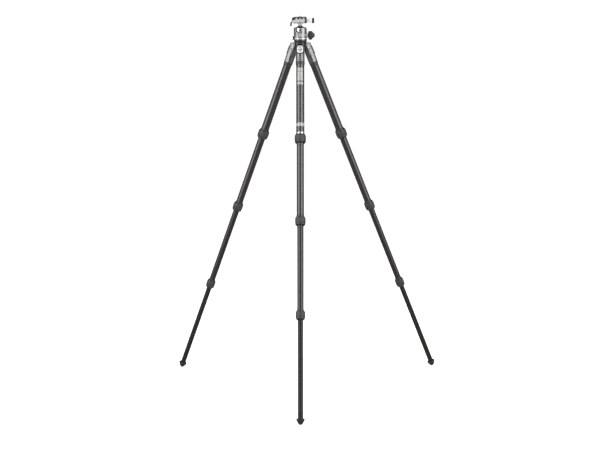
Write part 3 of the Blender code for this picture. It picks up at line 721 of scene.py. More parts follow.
def shoulder_mesh():
    """The round casting at the hip, slotted for the lug, with a recess for the stop."""
    bore = TUBE_RADII[0] + 0.00035
    body = lathe([
        (0, 0.020), (SHOULDER_RADIUS, 0.020), (SHOULDER_RADIUS, -SHOULDER_END + 0.0006),
        (SHOULDER_RADIUS - 0.0005, -SHOULDER_END), (bore, -SHOULDER_END),
        (bore, -TUBE_TOP + GAP), (0, -TUBE_TOP + GAP),
    ])
    side = arc(KNUCKLE_RADIUS, 0, 180, 48)
    side += [(-0.0185, -0.004), (-0.0185, -0.085), (0.0185, -0.085), (0.0185, -0.004)]
    keep(body, prism(side, -0.03, 0.03, "y"))
    for side in (0, 1):
        for half_width, end in ((CHEEK_HALF, 0.029), (CHEEK_HALF + 0.0008, 0.0580)):
            capsule = arc(CHEEK_FLAT, 180, 360, 24, (0, -end))
            capsule += [(CHEEK_FLAT, 0.03), (-CHEEK_FLAT, 0.03)]
            cut(body, prism(capsule, *each_side(half_width, 0.03)[side], "y"))
        cut(body, rod(0.0074, *each_side(CHEEK_HALF - 0.0023, 0.03)[side], "y"))
    slot, wall = LUG_HALF + 0.0004, LUG_RADIUS + 0.0004
    cut(body, block((-0.03, wall), (-slot, slot), (-wall, 0.03)))
    cut(body, block((0, 0.03), (-slot, slot), (-0.0004, 0.007)))
    cut(body, prism(recess_outline(0.0), STOP_FLOOR, 0.03, "x"))
    cut(body, block((-0.002, 0.012), (-0.0054, 0.0054), (-0.0181, -0.0129)))
    cut(body, rod(BOLT_RADIUS + 0.00035, -0.03, 0.03, "y"))
    return finish_mesh(body, "shoulder")


def cheek_mesh():
    """The two drop-shaped plates on the shoulder's cheeks, paler than the casting: a painted
    highlight on the cheek flats.
    """
    outline = arc(CHEEK_FLAT - 0.0008, 190, 350, 24, (0, -0.0565))
    outline += arc(0.0034, 20, 160, 12, (0, -0.0125))
    spans = each_side(CHEEK_HALF - 0.0004, CHEEK_HALF + 0.0014)
    return finish_mesh(join(*(prism(outline, *span, "y") for span in spans)), "cheek", 0.0003)


def trim_ring_mesh():
    """The dark ring between the shoulder and the carbon."""
    bore = TUBE_RADII[0] + 0.00035
    outline = [
        (bore, -SHOULDER_END - 0.0002), (SHOULDER_RADIUS - 0.0008, -SHOULDER_END - 0.0002),
        (SHOULDER_RADIUS - 0.0003, -SHOULDER_END - 0.0008),
        (SHOULDER_RADIUS - 0.0003, -SHOULDER_END - 0.0030),
        (SHOULDER_RADIUS - 0.0007, -SHOULDER_END - 0.0036),
        (SHOULDER_RADIUS - 0.0010, -SKIRT_END + 0.0008), (SHOULDER_RADIUS - 0.0014, -SKIRT_END),
        (bore, -SKIRT_END),
    ]
    return finish_mesh(lathe(outline), "dark")


def stop_mesh():
    """The pull-out stop: a domed tab with a round lower end and a curved groove. Its pale colour is
    partly its own and partly a painted highlight.
    """
    half = 0.0119
    outline = [(-half, -0.0002)] + arc(half, 180, 360, 32, (0, -0.0232)) + [(half, -0.0002)]
    body = prism(outline, STOP_FLOOR + 0.00035, 0.03, "x")
    dome = [
        (0, -0.0001), (0.0158, -0.0001), (0.0184, -0.0020), (0.0204, -0.0060), (0.0214, -0.0110),
        (0.0216, -0.0170), (0.0209, -0.0250), (0.0197, -0.0370), (0, -0.0370),
    ]
    keep(body, lathe(dome))
    stem = block((-0.0015, STOP_FLOOR + 0.001), (-0.0050, 0.0050), (-0.0177, -0.0133))
    join(body, stem)
    cut(body, prism(smile_outline(0.0), 0.0186, 0.03, "x"))
    return finish_mesh(body, "tab")


def smile_outline(inset):
    """The curved groove across the tab, drawn in by an inset for what fills it."""
    middle = (0, -0.0148)
    return arc(0.0098 - inset, 202, 338, 24, middle) + arc(0.0070 + inset, 338, 202, 24, middle)


def smile_shade_mesh():
    """The dark grey fill in the tab's groove: painted shade in the groove."""
    return finish_mesh(prism(smile_outline(0.0001), 0.0186, 0.0203, "x"), "strip")


def bolt_mesh():
    """The hip bolt, with a hexagon socket in each end."""
    head, length = 0.0071, CHEEK_HALF - 0.0003
    under = length - 0.0017
    outline = [
        (0, length), (head - 0.0005, length), (head, length - 0.0004), (head, under),
        (BOLT_RADIUS, under),
    ]
    outline += [(r, -z) for r, z in reversed(outline)]
    body = lathe(outline, MIDDLE)
    for span in each_side(length - 0.0025, length + 0.01):
        cut(body, rod(0.0029, *span, sides=6))
    return finish_mesh(body, "bolt")


def foot_mesh():
    """The mushroom foot: a grooved rubber dome under a flared cap."""
    cone = math.degrees(math.atan2(0.0067, 0.0117))
    outline = [
        (0.0100, FOOT_TOP), (0.0112, FOOT_TOP - 0.0001), (0.0140, 0.0122), (0.0155, 0.0108),
        (0.0160, 0.0094), (0.0160, 0.0076), (0.0157, 0.0064),
    ]
    rim = Vector((0.0157, 0.0064))
    dome = Vector(arc(FOOT_BALL, -cone, -90, 1)[0])
    for t in (0.30, 0.34, 0.40, 0.44, 0.62, 0.66, 0.72, 0.76):
        point = rim.lerp(dome, t)
        inset = 0.0005 if t in (0.34, 0.40, 0.66, 0.72) else 0.0
        outline.append((point.x - inset, point.y + inset))
    outline += arc(FOOT_BALL, -cone, -90, 12)[:-1]
    outline += [(0, -FOOT_BALL), (0, -0.002), (0.00485, -0.002), (0.00485, FOOT_TOP)]
    return finish_mesh(lathe(outline, MIDDLE), "foot")


def label_mesh(station, length):
    """A thin blank label on the outer side of the top tube."""
    radius, lift, rows = TUBE_RADII[0], 0.00012, 24
    half = LABEL_WIDTH / radius / 2
    bm = bmesh.new()
    skins = []
    for reach in (radius + lift, radius + lift / 4):
        grid = []
        for j in range(rows + 1):
            row = []
            z = -length * j / rows
            for k in range(rows + 1):
                angle = half * (2 * k / rows - 1)
                point = (reach * math.cos(angle), reach * math.sin(angle), z - station)
                row.append(bm.verts.new(point))
            grid.append(row)
        skins.append(grid)
    for grid in skins:
        for j in range(rows):
            for k in range(rows):
                bm.faces.new((grid[j][k], grid[j][k + 1], grid[j + 1][k + 1], grid[j + 1][k]))
    rim = [(0, k) for k in range(rows)] + [(j, rows) for j in range(rows)]
    rim += [(rows, k) for k in range(rows, 0, -1)] + [(j, 0) for j in range(rows, 0, -1)]
    top, under = skins
    for (j, k), (m, n) in zip(rim, rim[1:] + rim[:1]):
        bm.faces.new((top[j][k], top[m][n], under[m][n], under[j][k]))
    return finish_mesh(shape(bm), "label")


def band_mesh(station, length):
    """A thin pale band all round the top tube."""
    inner, outer = TUBE_RADII[0] + 0.00003, TUBE_RADII[0] + 0.00014
    end = -station - length
    outline = [(inner, -station), (outer, -station), (outer, end), (inner, end)]
    return finish_mesh(lathe(outline), "label")


def drop(mesh_maker, *values):
    """Makes a mesh and removes the working object that it came from."""
    before = set(bpy.data.objects)
    mesh = mesh_maker(*values)
    for obj in set(bpy.data.objects) - before:
        bpy.data.objects.remove(obj)
    return mesh


def build_legs():
    last = len(TUBE_RADII) - 1
    tubes = [drop(tube_mesh, k) for k in range(last + 1)]
    ferrules = [drop(ferrule_mesh, k, "dark") for k in range(last)]
    front_ferrule_highlight = drop(ferrule_mesh, 0, "ferrule")
    cores = [drop(lock_core_mesh, k) for k in range(last)]
    grips = [drop(lock_grip_mesh, k) for k in range(last)]
    shoulder, cheeks, trim = drop(shoulder_mesh), drop(cheek_mesh), drop(trim_ring_mesh)
    stop, smile_shade, recess_shade = drop(stop_mesh), drop(smile_shade_mesh), drop(recess_shade_mesh)
    bolt, foot = drop(bolt_mesh), drop(foot_mesh)
    for number in LEGS:
        leg = f"leg_{number}"
        hip = leg_frame(number)
        show(f"{leg}_casting", shoulder, hip, leg, [f"{leg}_shoulder"])
        show(f"{leg}_cheeks", cheeks, hip, leg)
        show(f"{leg}_recess_painted_shade", recess_shade, hip, leg)
        show(f"{leg}_trim_ring", trim, hip, leg)
        show(f"{leg}_stop_tab", stop, hip, f"{leg}_stop", [f"{leg}_angle_stop"])
        show(f"{leg}_stop_groove_shade", smile_shade, hip, f"{leg}_stop")
        show(f"{leg}_bolt", bolt, hip @ ACROSS, leg, [f"{leg}_hip_bolt"])
        for k in range(last + 1):
            on = leg + LEG_BODIES[k]
            where = hip @ down_leg(tube_top(k))
            show(f"{leg}_carbon_{k + 1}", tubes[k], where, on, [f"{leg}_tube_{k + 1}"])
        for k in range(last):
            where = hip @ down_leg(LOCK_STATIONS[k])
            collar = f"{leg}_collar_{k + 1}"
            # Only the front leg's top ferrule is bright turned aluminium and the rest are dark: a
            # painted highlight on that one ring.
            ferrule = front_ferrule_highlight if (number, k) == (1, 0) else ferrules[k]
            show(f"{leg}_ferrule_{k + 1}", ferrule, where, leg + LEG_BODIES[k])
            core = f"{leg}_lock_core_{k + 1}"
            show(core, cores[k], where, collar, [f"{leg}_lock_{k + 1}"])
            show(f"{leg}_lock_grip_{k + 1}", grips[k], where, collar)
        where = hip @ down_leg(FOOT_STATION)
        show(f"{leg}_rubber_foot", foot, where, f"{leg}_section_4", [f"{leg}_foot"])
    front = leg_frame(1)
    for name, (station, length) in LABELS.items():
        show(name, drop(label_mesh, station, length), front, "leg_1")
    show("label_band", drop(band_mesh, *BAND), front, "leg_1")


# ---- Apex


def stop_notch(spread):
    """The notch in a lug that the stop's nose drops into, for a leg at a spread in degrees."""
    nose = math.degrees(math.atan2(0.0015, STOP_FLOOR))
    notch = block((LUG_RADIUS - 0.0016, LUG_RADIUS + 0.003), (-0.02, 0.02), (-0.0017, 0.0017))
    moved(notch, Matrix.Rotation(-math.radians(spread - nose), 4, "Y"))
    return moved(notch, Matrix.Translation((HIP_RADIUS, 0, HIP_HEIGHT)))


def build_apex():
    """The spider, the platform disc, the level and the weight hook."""
    body = lathe([
        (0, HUB_TOP), (0.0195, HUB_TOP), (0.0200, HUB_TOP - 0.0005),
        (0.0200, HUB_TOP - 0.0014), (0.0160, HUB_TOP - 0.0052), (0.0115, HUB_TOP - 0.0092),
        (0.0115, HIP_HEIGHT - 0.0170), (0.0095, HIP_HEIGHT - 0.0200), (0, HIP_HEIGHT - 0.0200),
    ])
    width = (-LUG_HALF, LUG_HALF)
    for degrees in (-90, 30, 150):
        arm = block((0.005, HIP_RADIUS), width, (HIP_HEIGHT - 0.008, HIP_HEIGHT + 0.008))
        join(arm, rod(LUG_RADIUS, *width, "y", (HIP_RADIUS, HIP_HEIGHT), ROUND))
        for spread in SPREADS:
            cut(arm, stop_notch(spread))
        bore = rod(BOLT_RADIUS + 0.00035, -0.02, 0.02, "y", (HIP_RADIUS, HIP_HEIGHT))
        join(body, turn(cut(arm, bore), math.radians(degrees)))
    cup = (0, CUP_OFFSET)
    join(body, block((-0.004, 0.004), (0.005, cup[1]), (HUB_TOP - 0.0087, HUB_TOP - 0.0047)))
    join(body, rod(0.0082, HUB_TOP - 0.0097, HUB_TOP - 0.0020, "z", cup, MIDDLE))
    cut(body, rod(0.0069, HUB_TOP - 0.0082, HUB_TOP, "z", cup, MIDDLE))
    cut(body, rod(0.0052, HIP_HEIGHT, HUB_TOP + 0.01))
    cut(body, rod(0.0029, HIP_HEIGHT - 0.03, HIP_HEIGHT - 0.0065))
    one("apex_casting", body, "black", "apex", ["spider"])

    low = HUB_TOP + GAP
    outline = [
        (0.0052, PLATFORM_TOP), (0.0241, PLATFORM_TOP), (0.0245, PLATFORM_TOP - 0.0004),
        (0.0245, low + 0.0022), (0.0242, low + 0.0019), (0.0245, low + 0.0016),
        (0.0245, low + 0.0006), (0.0239, low), (0.0052, low),
    ]
    disc = lathe(outline)
    one("platform_disc", disc, "black", "apex", ["platform"])

    low = HUB_TOP - 0.0079
    crown = low + 0.0066
    glass = [(0, crown)] + [(r, crown - 9.0 * r * r) for r in (0.0015, 0.003, 0.0045, 0.0055)]
    glass += [(0.0062, low + 0.0060), (0.0065, low + 0.0055), (0.0065, low), (0, low)]
    where = on_axis() @ Matrix.Translation((0, CUP_OFFSET, 0))
    one("level_vial", lathe(glass, MIDDLE), "spirit", "apex", ["bubble_level"], where=where)
    circle = moved(ring(0.0030, 0.00012, MIDDLE, 8), Matrix.Translation((0, 0, crown)))
    one("level_circle", circle, "plastic", "apex", where=where)

    top, seat = HIP_HEIGHT - 0.0070, HIP_HEIGHT - 0.0200 - GAP
    outline = [
        (0, top), (0.0022, top), (0.0025, top - 0.0003), (0.0025, seat), (0.0056, seat),
        (0.0060, seat - 0.0004), (0.0060, seat - 0.0023), (0.0052, seat - 0.0029),
        (0.0040, seat - 0.0035), (0, seat - 0.0035),
    ]
    hook = lathe(outline, MIDDLE)
    eye = moved(ring(0.008, 0.0017), ACROSS)
    join(hook, moved(eye, Matrix.Translation((0, 0, seat - 0.0122))))
    one("hook_eye", hook, "steel", "hook", ["weight_hook"])


# ---- Ball head


def notch_cutter():
    outline = arc(NOTCH_HALF, 180, 360, 40, (0, BALL_HEIGHT))
    outline += [(NOTCH_HALF, HOUSING_TOP + 0.01), (-NOTCH_HALF, HOUSING_TOP + 0.01)]
    return turn(prism(outline, 0.008, 0.04, "x"), NOTCH_AZIMUTH)


def build_housing(main_azimuth, main_height, pan_azimuth, pan_height):
    low = PAN_TOP + 0.0004
    cavity = BALL_RADIUS + 0.0005
    rim = math.degrees(math.asin((HOUSING_TOP - BALL_HEIGHT) / cavity))
    outline = [(0.0205, HOUSING_TOP)]
    outline += arc(0.0055, 88, 4, 10, (HOUSING_RADIUS - 0.0055, HOUSING_TOP - 0.0055))
    outline += [
        (HOUSING_RADIUS, low + 0.0060), (HOUSING_RADIUS - 0.0004, low + 0.0057),
        (HOUSING_RADIUS - 0.0004, low + 0.0051), (HOUSING_RADIUS, low + 0.0048),
        (HOUSING_RADIUS, low + 0.0006), (HOUSING_RADIUS - 0.0006, low), (0.0184, low),
        (0.0184, SPINDLE_TOP + 0.0006), (0.0070, SPINDLE_TOP + 0.0006), (0.0070, SEAT_FLOOR),
        (0.0204, SEAT_FLOOR), (0.0204, BALL_HEIGHT - 0.001),
    ]
    outline += arc(cavity, 4, rim, 16, (0, BALL_HEIGHT))
    body = lathe(outline)
    cut(body, turn(rod(0.0044, 0.015, 0.04, "x", (0, main_height)), main_azimuth))
    cut(body, turn(rod(0.0029, 0.015, 0.03, "x", (0, pan_height)), pan_azimuth))
    cut(body, notch_cutter())
    one("housing_shell", body, "casting", "head", ["housing"])
    # The knob's boss and a pad round it are paler than the housing: a painted highlight on the
    # casting.
    boss = [
        (0.0044, BOSS_END), (BOSS_RADIUS - 0.0004, BOSS_END), (BOSS_RADIUS, BOSS_END - 0.0004),
        (BOSS_RADIUS, 0.0215), (0.0044, 0.0215),
    ]
    where = along(main_azimuth, main_height)
    one("knob_boss", lathe(boss, MIDDLE), "light", "head", where=where)
    inside, proud, half = HOUSING_RADIUS - 0.001, HOUSING_RADIUS + 0.0007, BOSS_RADIUS
    pad = [(inside, half), (proud, half - 0.0004), (proud, 0.0004 - half), (inside, -half)]
    pad = lathe([(radius, main_height + z) for radius, z in pad])
    reach = (main_height - 0.008, main_height + 0.008)
    keep(pad, turn(block((0.0040, 0.03), (-0.03, 0.03), reach), main_azimuth))
    cut(pad, turn(rod(0.0044, 0.0, 0.04, "x", (0, main_height)), main_azimuth))
    one("boss_pad", pad, "light", "head")
    # A thin silver band round the housing's lower rim: a painted highlight on the casting.
    skin, foot = HOUSING_RADIUS + 0.0003, low + 0.0007
    outline = [(HOUSING_RADIUS, foot + 0.0040), (skin, foot + 0.0037), (skin, foot)]
    outline.append((HOUSING_RADIUS, foot))
    one("housing_ring", lathe(outline), "silver", "head")


def build_knobs(main_azimuth, main_height, pan_azimuth, pan_height):
    """The lobed main knob with its dial, and the pan knob, along their own axes."""
    lobes, lobe_radius, wave_depth = 7, 0.0167, 0.0011
    start, end = MAIN_KNOB_START, MAIN_KNOB_END

    def lobe(radius, height, angle):
        if radius < 0.0100:
            return radius
        swing = math.cos(lobes * angle)
        ribbed = start + 0.0040 < height < end - 0.0064
        rib = 0.00022 * math.cos(98 * angle) if ribbed else 0.0
        return radius / lobe_radius * (lobe_radius + wave_depth * swing) + rib

    outline = [
        (0.0043, start), (0.0088, start), (0.0112, start + 0.0004), (0.0136, start + 0.0013),
        (0.0155, start + 0.0026), (0.0164, start + 0.0038), (lobe_radius, start + 0.0046),
        (lobe_radius, (start + end) / 2), (lobe_radius, end - 0.0070), (0.0164, end - 0.0056),
        (0.0155, end - 0.0038), (0.0139, end - 0.0020), (0.0118, end - 0.0006), (0.0104, end),
        (0.0081, end), (0.0081, end - 0.0031), (0.0043, end - 0.0031),
    ]
    where = along(main_azimuth, main_height)
    knob = lathe(outline, lobes * 56, lobe)
    one("main_knob_grip", knob, "grip", "main_knob", ["main_knob"], where=where)
    low, top = end + 0.0004, end + 0.0077
    dial = lathe([
        (0, top), (0.0050, top - 0.0001), (0.0070, top - 0.0007), (0.0086, top - 0.0020),
        (0.0094, top - 0.0038), (0.0095, top - 0.0046), (0.0095, low + 0.0012),
        (0.0092, low + 0.0009), (0.0095, low + 0.0006), (0.0095, low), (0.0076, low),
        (0.0076, end - 0.0028), (0, end - 0.0028),
    ], MIDDLE)
    cut(dial, block((-0.0055, 0.0055), (-0.0008, 0.0008), (top - 0.0014, top + 0.001)))
    one("dial_face", dial, "dark", "friction_dial", ["friction_dial"], where=where)

    def knurl(radius, height, angle):
        if radius < 0.0069 or not 0.0326 < height < 0.0346:
            return radius
        return radius - 0.00022 * (1 + math.cos(24 * angle)) / 2

    outline = [
        (0, PAN_KNOB_END), (0.0046, PAN_KNOB_END), (0.0053, PAN_KNOB_END - 0.0006),
        (0.0070, 0.0351), (0.0070, 0.0344), (0.0070, 0.0328), (0.0070, 0.0322), (0, 0.0322),
    ]
    where = along(pan_azimuth, pan_height)
    knob = lathe(outline, 24 * 6, knurl)
    one("pan_knob_grip", knob, "bright", "pan_knob", ["pan_knob"], where=where)
    outline = [
        (0, 0.0320), (0.0066, 0.0320), (0.0070, 0.0316), (0.0070, 0.0280), (0.0062, 0.0272),
        (0.0024, 0.0272), (0.0024, 0.0188), (0, 0.0188),
    ]
    collar = lathe(outline, MIDDLE)
    one("pan_knob_collar", collar, "black", "pan_knob", where=where)


def build_head():
    main, pan = joints["main_knob_turn"], joints["pan_knob_turn"]
    main_azimuth = math.atan2(main["axis"][1], main["axis"][0])
    pan_azimuth = math.atan2(pan["axis"][1], pan["axis"][0])
    heights = main["pos_m"][2], pan["pos_m"][2]
    build_housing(main_azimuth, heights[0], pan_azimuth, heights[1])
    build_knobs(main_azimuth, heights[0], pan_azimuth, heights[1])

    low = PLATFORM_TOP + GAP
    outline = [
        (0.0052, SPINDLE_TOP), (0.0180, SPINDLE_TOP), (0.0180, PAN_TOP), (0.0256, PAN_TOP),
        (0.0260, PAN_TOP - 0.0004), (0.0260, low + 0.0006), (0.0254, low), (0.0052, low),
    ]
    one("pan_disc", lathe(outline), "scale", "apex", ["pan_base"])

    low = HOUSING_TOP + GAP
    outline = [
        (0.0158, low + 0.0008), (0.0161, low + 0.0011), (0.0182, low + 0.0011),
        (0.0187, low + 0.0009), (0.0190, low + 0.0005), (0.0190, low), (0.0158, low),
    ]
    collar = cut(lathe(outline), notch_cutter())
    one("dust_ring", collar, "plastic", "head", ["collar_ring"])

    stem_angle = math.degrees(math.acos(STEM_RADIUS / BALL_RADIUS))
    centre = (0, BALL_HEIGHT)
    root = arc(BALL_RADIUS, stem_angle, 0, 1, centre)[0][1]
    outline = [(0.0032, BORE_END), (0.0032, STEM_TOP), (0.0097, STEM_TOP)]
    outline += [(0.0100, STEM_TOP - 0.0003), (0.0100, 1.4608), (0.0090, 1.4602), (0.0080, 1.4597)]
    outline += [(STEM_RADIUS, SLEEVE_TOP + 0.0002), (STEM_RADIUS, root + 0.0012)]
    outline += arc(BALL_RADIUS, stem_angle - 1.2, -90, 48, centre)[:-1]
    outline += [(0, BALL_HEIGHT - BALL_RADIUS), (0, BORE_END)]
    one("polished_ball", lathe(outline), "chrome", "ball", ["ball"])
    skin = STEM_RADIUS + 0.0002
    sleeve = [(STEM_RADIUS, SLEEVE_TOP), (skin, SLEEVE_TOP), (skin, root + 0.0012)]
    sleeve = lathe(sleeve + [(STEM_RADIUS, root + 0.0012)], MIDDLE)
    one("stem_sleeve", sleeve, "light", "ball")
    # A black cap over the chrome ball's top, round the stem: a painted dark reflection on the ball.
    cap = [(skin, root + 0.0010), (STEM_RADIUS + 0.0004, root + 0.0004)]
    cap += arc(BALL_RADIUS + 0.0001, stem_angle - 4.0, 42, 12, centre)
    cap += arc(BALL_RADIUS - 0.0003, 42, stem_angle - 4.0, 12, centre)
    cap.append((STEM_RADIUS - 0.0002, root))
    one("ball_crown", lathe(cap), "plastic", "ball")


# ---- Clamp and plate


def dovetail_jaw(sign):
    lip, flank = GROOVE_HALF - 0.0046, 0.0053
    points = [(lip, JAW_TOP), (lip, JAW_TOP - 0.0007), (GROOVE_HALF, JAW_TOP - flank)]
    return [(sign * x, z) for x, z in points]


def build_clamp_body():
    outline = dovetail_jaw(-1) + [
        (-GROOVE_HALF, CLAMP_FLOOR), (0.0187, CLAMP_FLOOR), (0.0187, CLAMP_BOTTOM),
        (-0.0250, CLAMP_BOTTOM), (-0.0275, CLAMP_BOTTOM + 0.0025), (-0.0275, CLAMP_FLOOR - 0.0030),
        (-0.0270, CLAMP_FLOOR - 0.0025), (-0.0270, CLAMP_FLOOR - 0.0018),
        (-0.0275, CLAMP_FLOOR - 0.0013), (-0.0275, JAW_TOP),
    ]
    body = prism(rounded(outline, 0.0005, 3), -CLAMP_HALF, CLAMP_HALF, "y")
    for low, high in ((-0.0105, -0.0073), (0.0073, 0.0105)):
        ear = [(-0.0270, LATCH.z - 0.0034), (-0.0270, LATCH.z + 0.0034)]
        ear += [(x, z) for x, z in arc(0.0034, 90, 270, 20, (LATCH.x + 0.0004, LATCH.z))]
        join(body, prism(ear, low, high, "y"))
    cut(body, rod(0.00185, -0.02, 0.02, "y", (LATCH.x, LATCH.z)))
    cut(body, rod(0.0033, 1.45, 1.48))
    cut(body, rod(0.0056, CLAMP_FLOOR - 0.0055, 1.48))
    cut(body, rod(0.0027, 0.0072, 0.03, "x", (0, SCREW_HEIGHT)))
    for span in each_side(CLAMP_HALF - 0.0030, CLAMP_HALF + 0.01):
        cut(body, rod(0.0039, *span, "y", CLAMP_SCREW))
    outside, inside, under = CLAMP_HALF + 0.001, CLAMP_HALF - 0.0040, CLAMP_BOTTOM - 0.001
    for y in (-1, 1):
        edge = [(y * outside, under), (y * inside, under), (y * outside, CLAMP_BOTTOM + 0.0040)]
        cut(body, prism(edge, -0.03, 0.0186, "x"))
    # The corner of the body that forms the fixed jaw is cut off and shown near-black: painted
    # shadow of the dovetail gap.
    corner = block((-0.03, -0.0150), (-0.03, 0.03), (CLAMP_FLOOR - 0.0006, 1.49))
    jaw = keep(copy_of(body), copy_of(corner))
    cut(body, corner)
    one("clamp_body", body, "clamp", "clamp", ["clamp_base"])
    one("fixed_jaw", jaw, "deep", "clamp")


def socket_screw(name, place, y, radius, body):
    """A black socket-head screw set in an end face."""
    depth, ease = 0.0027, 0.0004
    outline = [(0, 0), (radius - ease, 0), (radius, -ease), (radius, -depth), (0, -depth)]
    screw = lathe(outline, SMALL)
    cut(screw, rod(radius * 0.5, -0.0016, 0.01, sides=6))
    facing = Matrix.Rotation(math.pi / 2 * (1 if y < 0 else -1), 4, "X")
    where = on_axis() @ Matrix.Translation((place[0], y, place[1])) @ facing
    one(name, screw, "deep", body, where=where)


def build_clamp():
    build_clamp_body()
    outline = dovetail_jaw(1) + [
        (GROOVE_HALF, CLAMP_FLOOR + GAP), (0.0190, CLAMP_FLOOR + GAP), (0.0190, CLAMP_BOTTOM),
        (0.0238, CLAMP_BOTTOM), (0.0260, CLAMP_BOTTOM + 0.0022), (0.0260, JAW_TOP),
    ]
    jaw = prism(rounded(outline, 0.0004, 3), -CLAMP_HALF, CLAMP_HALF, "y")
    cut(jaw, rod(0.0028, 0.01, 0.03, "x", (0, SCREW_HEIGHT)))
    for span in each_side(CLAMP_HALF - 0.0030, CLAMP_HALF + 0.01):
        cut(jaw, rod(0.0031, *span, "y", JAW_SCREW))
    one("moving_jaw", jaw, "dark", "jaw", ["clamp_jaw"])
    for side, y in (("front", -1), ("back", 1)):
        face = y * (CLAMP_HALF - 0.0002)
        socket_screw(f"clamp_screw_{side}", CLAMP_SCREW, face, 0.0038, "clamp")
        socket_screw(f"jaw_screw_{side}", JAW_SCREW, face, 0.0030, "jaw")

    def knurl(radius, height, angle):
        if radius < 0.0104 or not 0.0486 < height < 0.0538:
            return radius
        return radius - 0.00035 * (1 + math.cos(36 * angle)) / 2

    where = along(0.0, SCREW_HEIGHT)
    cone = [
        (0.0027, 0.0263), (0.0066, 0.0263), (0.0070, 0.0267), (0.0070, 0.0295), (0.0073, 0.0320),
        (0.0080, 0.0370), (0.0088, 0.0420), (0.0097, 0.0462), (0.0094, 0.0466), (0.0027, 0.0466),
    ]
    neck = lathe(cone)
    one("clamp_knob_body", neck, "bright", "clamp_knob", ["clamp_knob"], where=where)
    grip = [
        (0.0027, 0.0468), (0.0098, 0.0476), (0.0105, 0.0483), (0.0105, 0.0488), (0.0105, 0.0536),
        (0.0105, 0.0542), (0.0098, 0.0552), (0.0070, 0.0558), (0.0060, 0.0552), (0, 0.0552),
        (0, 0.0470), (0.0027, 0.0470),
    ]
    grip = lathe(grip, 36 * 6, knurl)
    one("clamp_knob_grip", grip, "grip", "clamp_knob", where=where)

    pin = Matrix.Translation(LATCH + AXIS)
    outline = [
        (-0.0306, 1.4858), (-0.0282, 1.4858), (-0.0282, LATCH.z + 0.0040),
        (LATCH.x + 0.0020, LATCH.z - 0.0030), (-0.0330, 1.4625), (-0.0340, 1.4512),
        (-0.0398, 1.4512), (-0.0390, 1.4640), (LATCH.x - 0.0028, LATCH.z - 0.0025),
        (LATCH.x - 0.0022, LATCH.z + 0.0030),
    ]
    outline = rounded([(x - LATCH.x, z - LATCH.z) for x, z in outline], 0.0011, 5)
    lever = cut(prism(outline, -0.0069, 0.0069, "y"), rod(0.0018, -0.01, 0.01, "y"))
    one("latch", lever, "dark", "latch", ["latch_lever"], where=pin)
    outline = [(0, 0.0103), (0.0011, 0.0103), (0.0014, 0.0100)]
    outline += [(r, -z) for r, z in reversed(outline)]
    shaft = moved(lathe(outline, SMALL), ACROSS)
    one("latch_shaft", shaft, "steel", "clamp", ["latch_pin"], where=pin)


def build_plate():
    half = [
        (0.0172, CLAMP_FLOOR + GAP), (0.0194, CLAMP_FLOOR + 0.0025),
        (0.0149, CLAMP_FLOOR + 0.0070), (0.0149, JAW_TOP + 0.0004),
        (PLATE_HALF - 0.0005, JAW_TOP + 0.0004), (PLATE_HALF, JAW_TOP + 0.0009),
        (PLATE_HALF, PLATE_TOP),
    ]
    outline = rounded(half + [(-x, z) for x, z in reversed(half)], 0.0003, 3)
    body = prism(outline, -0.026, 0.026, "y")
    cut(body, rod(0.0035, 1.47, 1.50), rod(0.0083, 1.47, CLAMP_FLOOR + 0.0048, sides=MIDDLE))
    pocket = [(0.0018, FLANGE_UNDER), (0.0018, 1.4786), (0.0122, 1.4786), (0.0122, FLANGE_UNDER)]
    pocket = rounded(pocket, 0.0016)
    for span in each_side(0.0230, 0.04):
        cut(body, rod(0.0044, *span, "y", PLATE_SCREW), prism(pocket, *span, "y"))
    flange = block((-0.03, 0.03), (-0.03, 0.03), (FLANGE_UNDER, 1.49))
    top = keep(copy_of(body), copy_of(flange))
    cut(body, flange)
    node = "quick_release_plate"
    one("plate_dovetail", body, "silver", "plate", [node])
    one("plate_top", top, "black", "plate")
    for side, y in (("front", -1), ("back", 1)):
        socket_screw(f"plate_stop_{side}", PLATE_SCREW, y * 0.0258, 0.0043, "plate")
        # A near-black sheet in each pocket: painted shade in the pocket.
        pocket_shade = prism(pocket, *sorted((y * 0.0225, y * 0.0250)), "y")
        one(f"plate_pocket_shade_{side}", pocket_shade, "deep", "plate")

    low = PLATE_TOP + GAP
    side = 0.0245
    square = rounded([(-side, -side), (side, -side), (side, side), (-side, side)], 0.002)
    pad = prism(square, low, low + 0.0015)
    cut(pad, rod(0.0045, 1.48, 1.50, sides=MIDDLE))
    for x in (-0.016, 0.016):
        for k in range(9):
            y = (k - 4) * 0.0052
            left, right, front, back = x - 0.0065, x + 0.0065, y - 0.0008, y + 0.0008
            slot = [(left, front), (right, front), (right, back), (left, back)]
            cut(pad, prism(rounded(slot, 0.0008), low + 0.0008, low + 0.01))
    one("pad", pad, "rubber", "plate", ["plate_pad"])

    low = CLAMP_FLOOR + 0.0006
    under = low + 0.0037
    outline = [(0, 1.4915), (0.0022, 1.4915), (0.0030, 1.4907), (0.0031, 1.4904)]
    pitch = 0.00127 * 0.5
    for k in range(14):
        z = 1.4900 - k * pitch
        if z - pitch > under:
            outline += [(0.0031, z), (0.0028, z - pitch / 2)]
    outline += [(0.0031, under), (0.0074, under), (0.0078, under - 0.0004), (0.0078, low), (0, low)]
    body = cut(lathe(outline, SMALL), block((-0.02, 0.02), (-0.0009, 0.0009), (1.47, low + 0.0015)))
    one("camera_stud", body, "steel", "camera_screw", ["camera_screw"])


# ---- What stays of the CAD, the stage, lights and camera

HIDDEN_NODES = {
    "platform_stud": "steel",
    "ball_seat": "plastic",
    "clamp_bolt": "steel",
    "clamp_screw": "steel",
    "main_knob_shaft": "steel",
    "leg_1_foot_stud": "steel",
    "leg_2_foot_stud": "steel",
    "leg_3_foot_stud": "steel",
}


def dress_nodes():
    """The inner parts that stay as the CAD has them, with finished materials."""
    for node, look in HIDDEN_NODES.items():
        mesh = frame["nodes"][node].data
        mesh.materials.clear()
        mesh.materials.append(LOOKS[look])


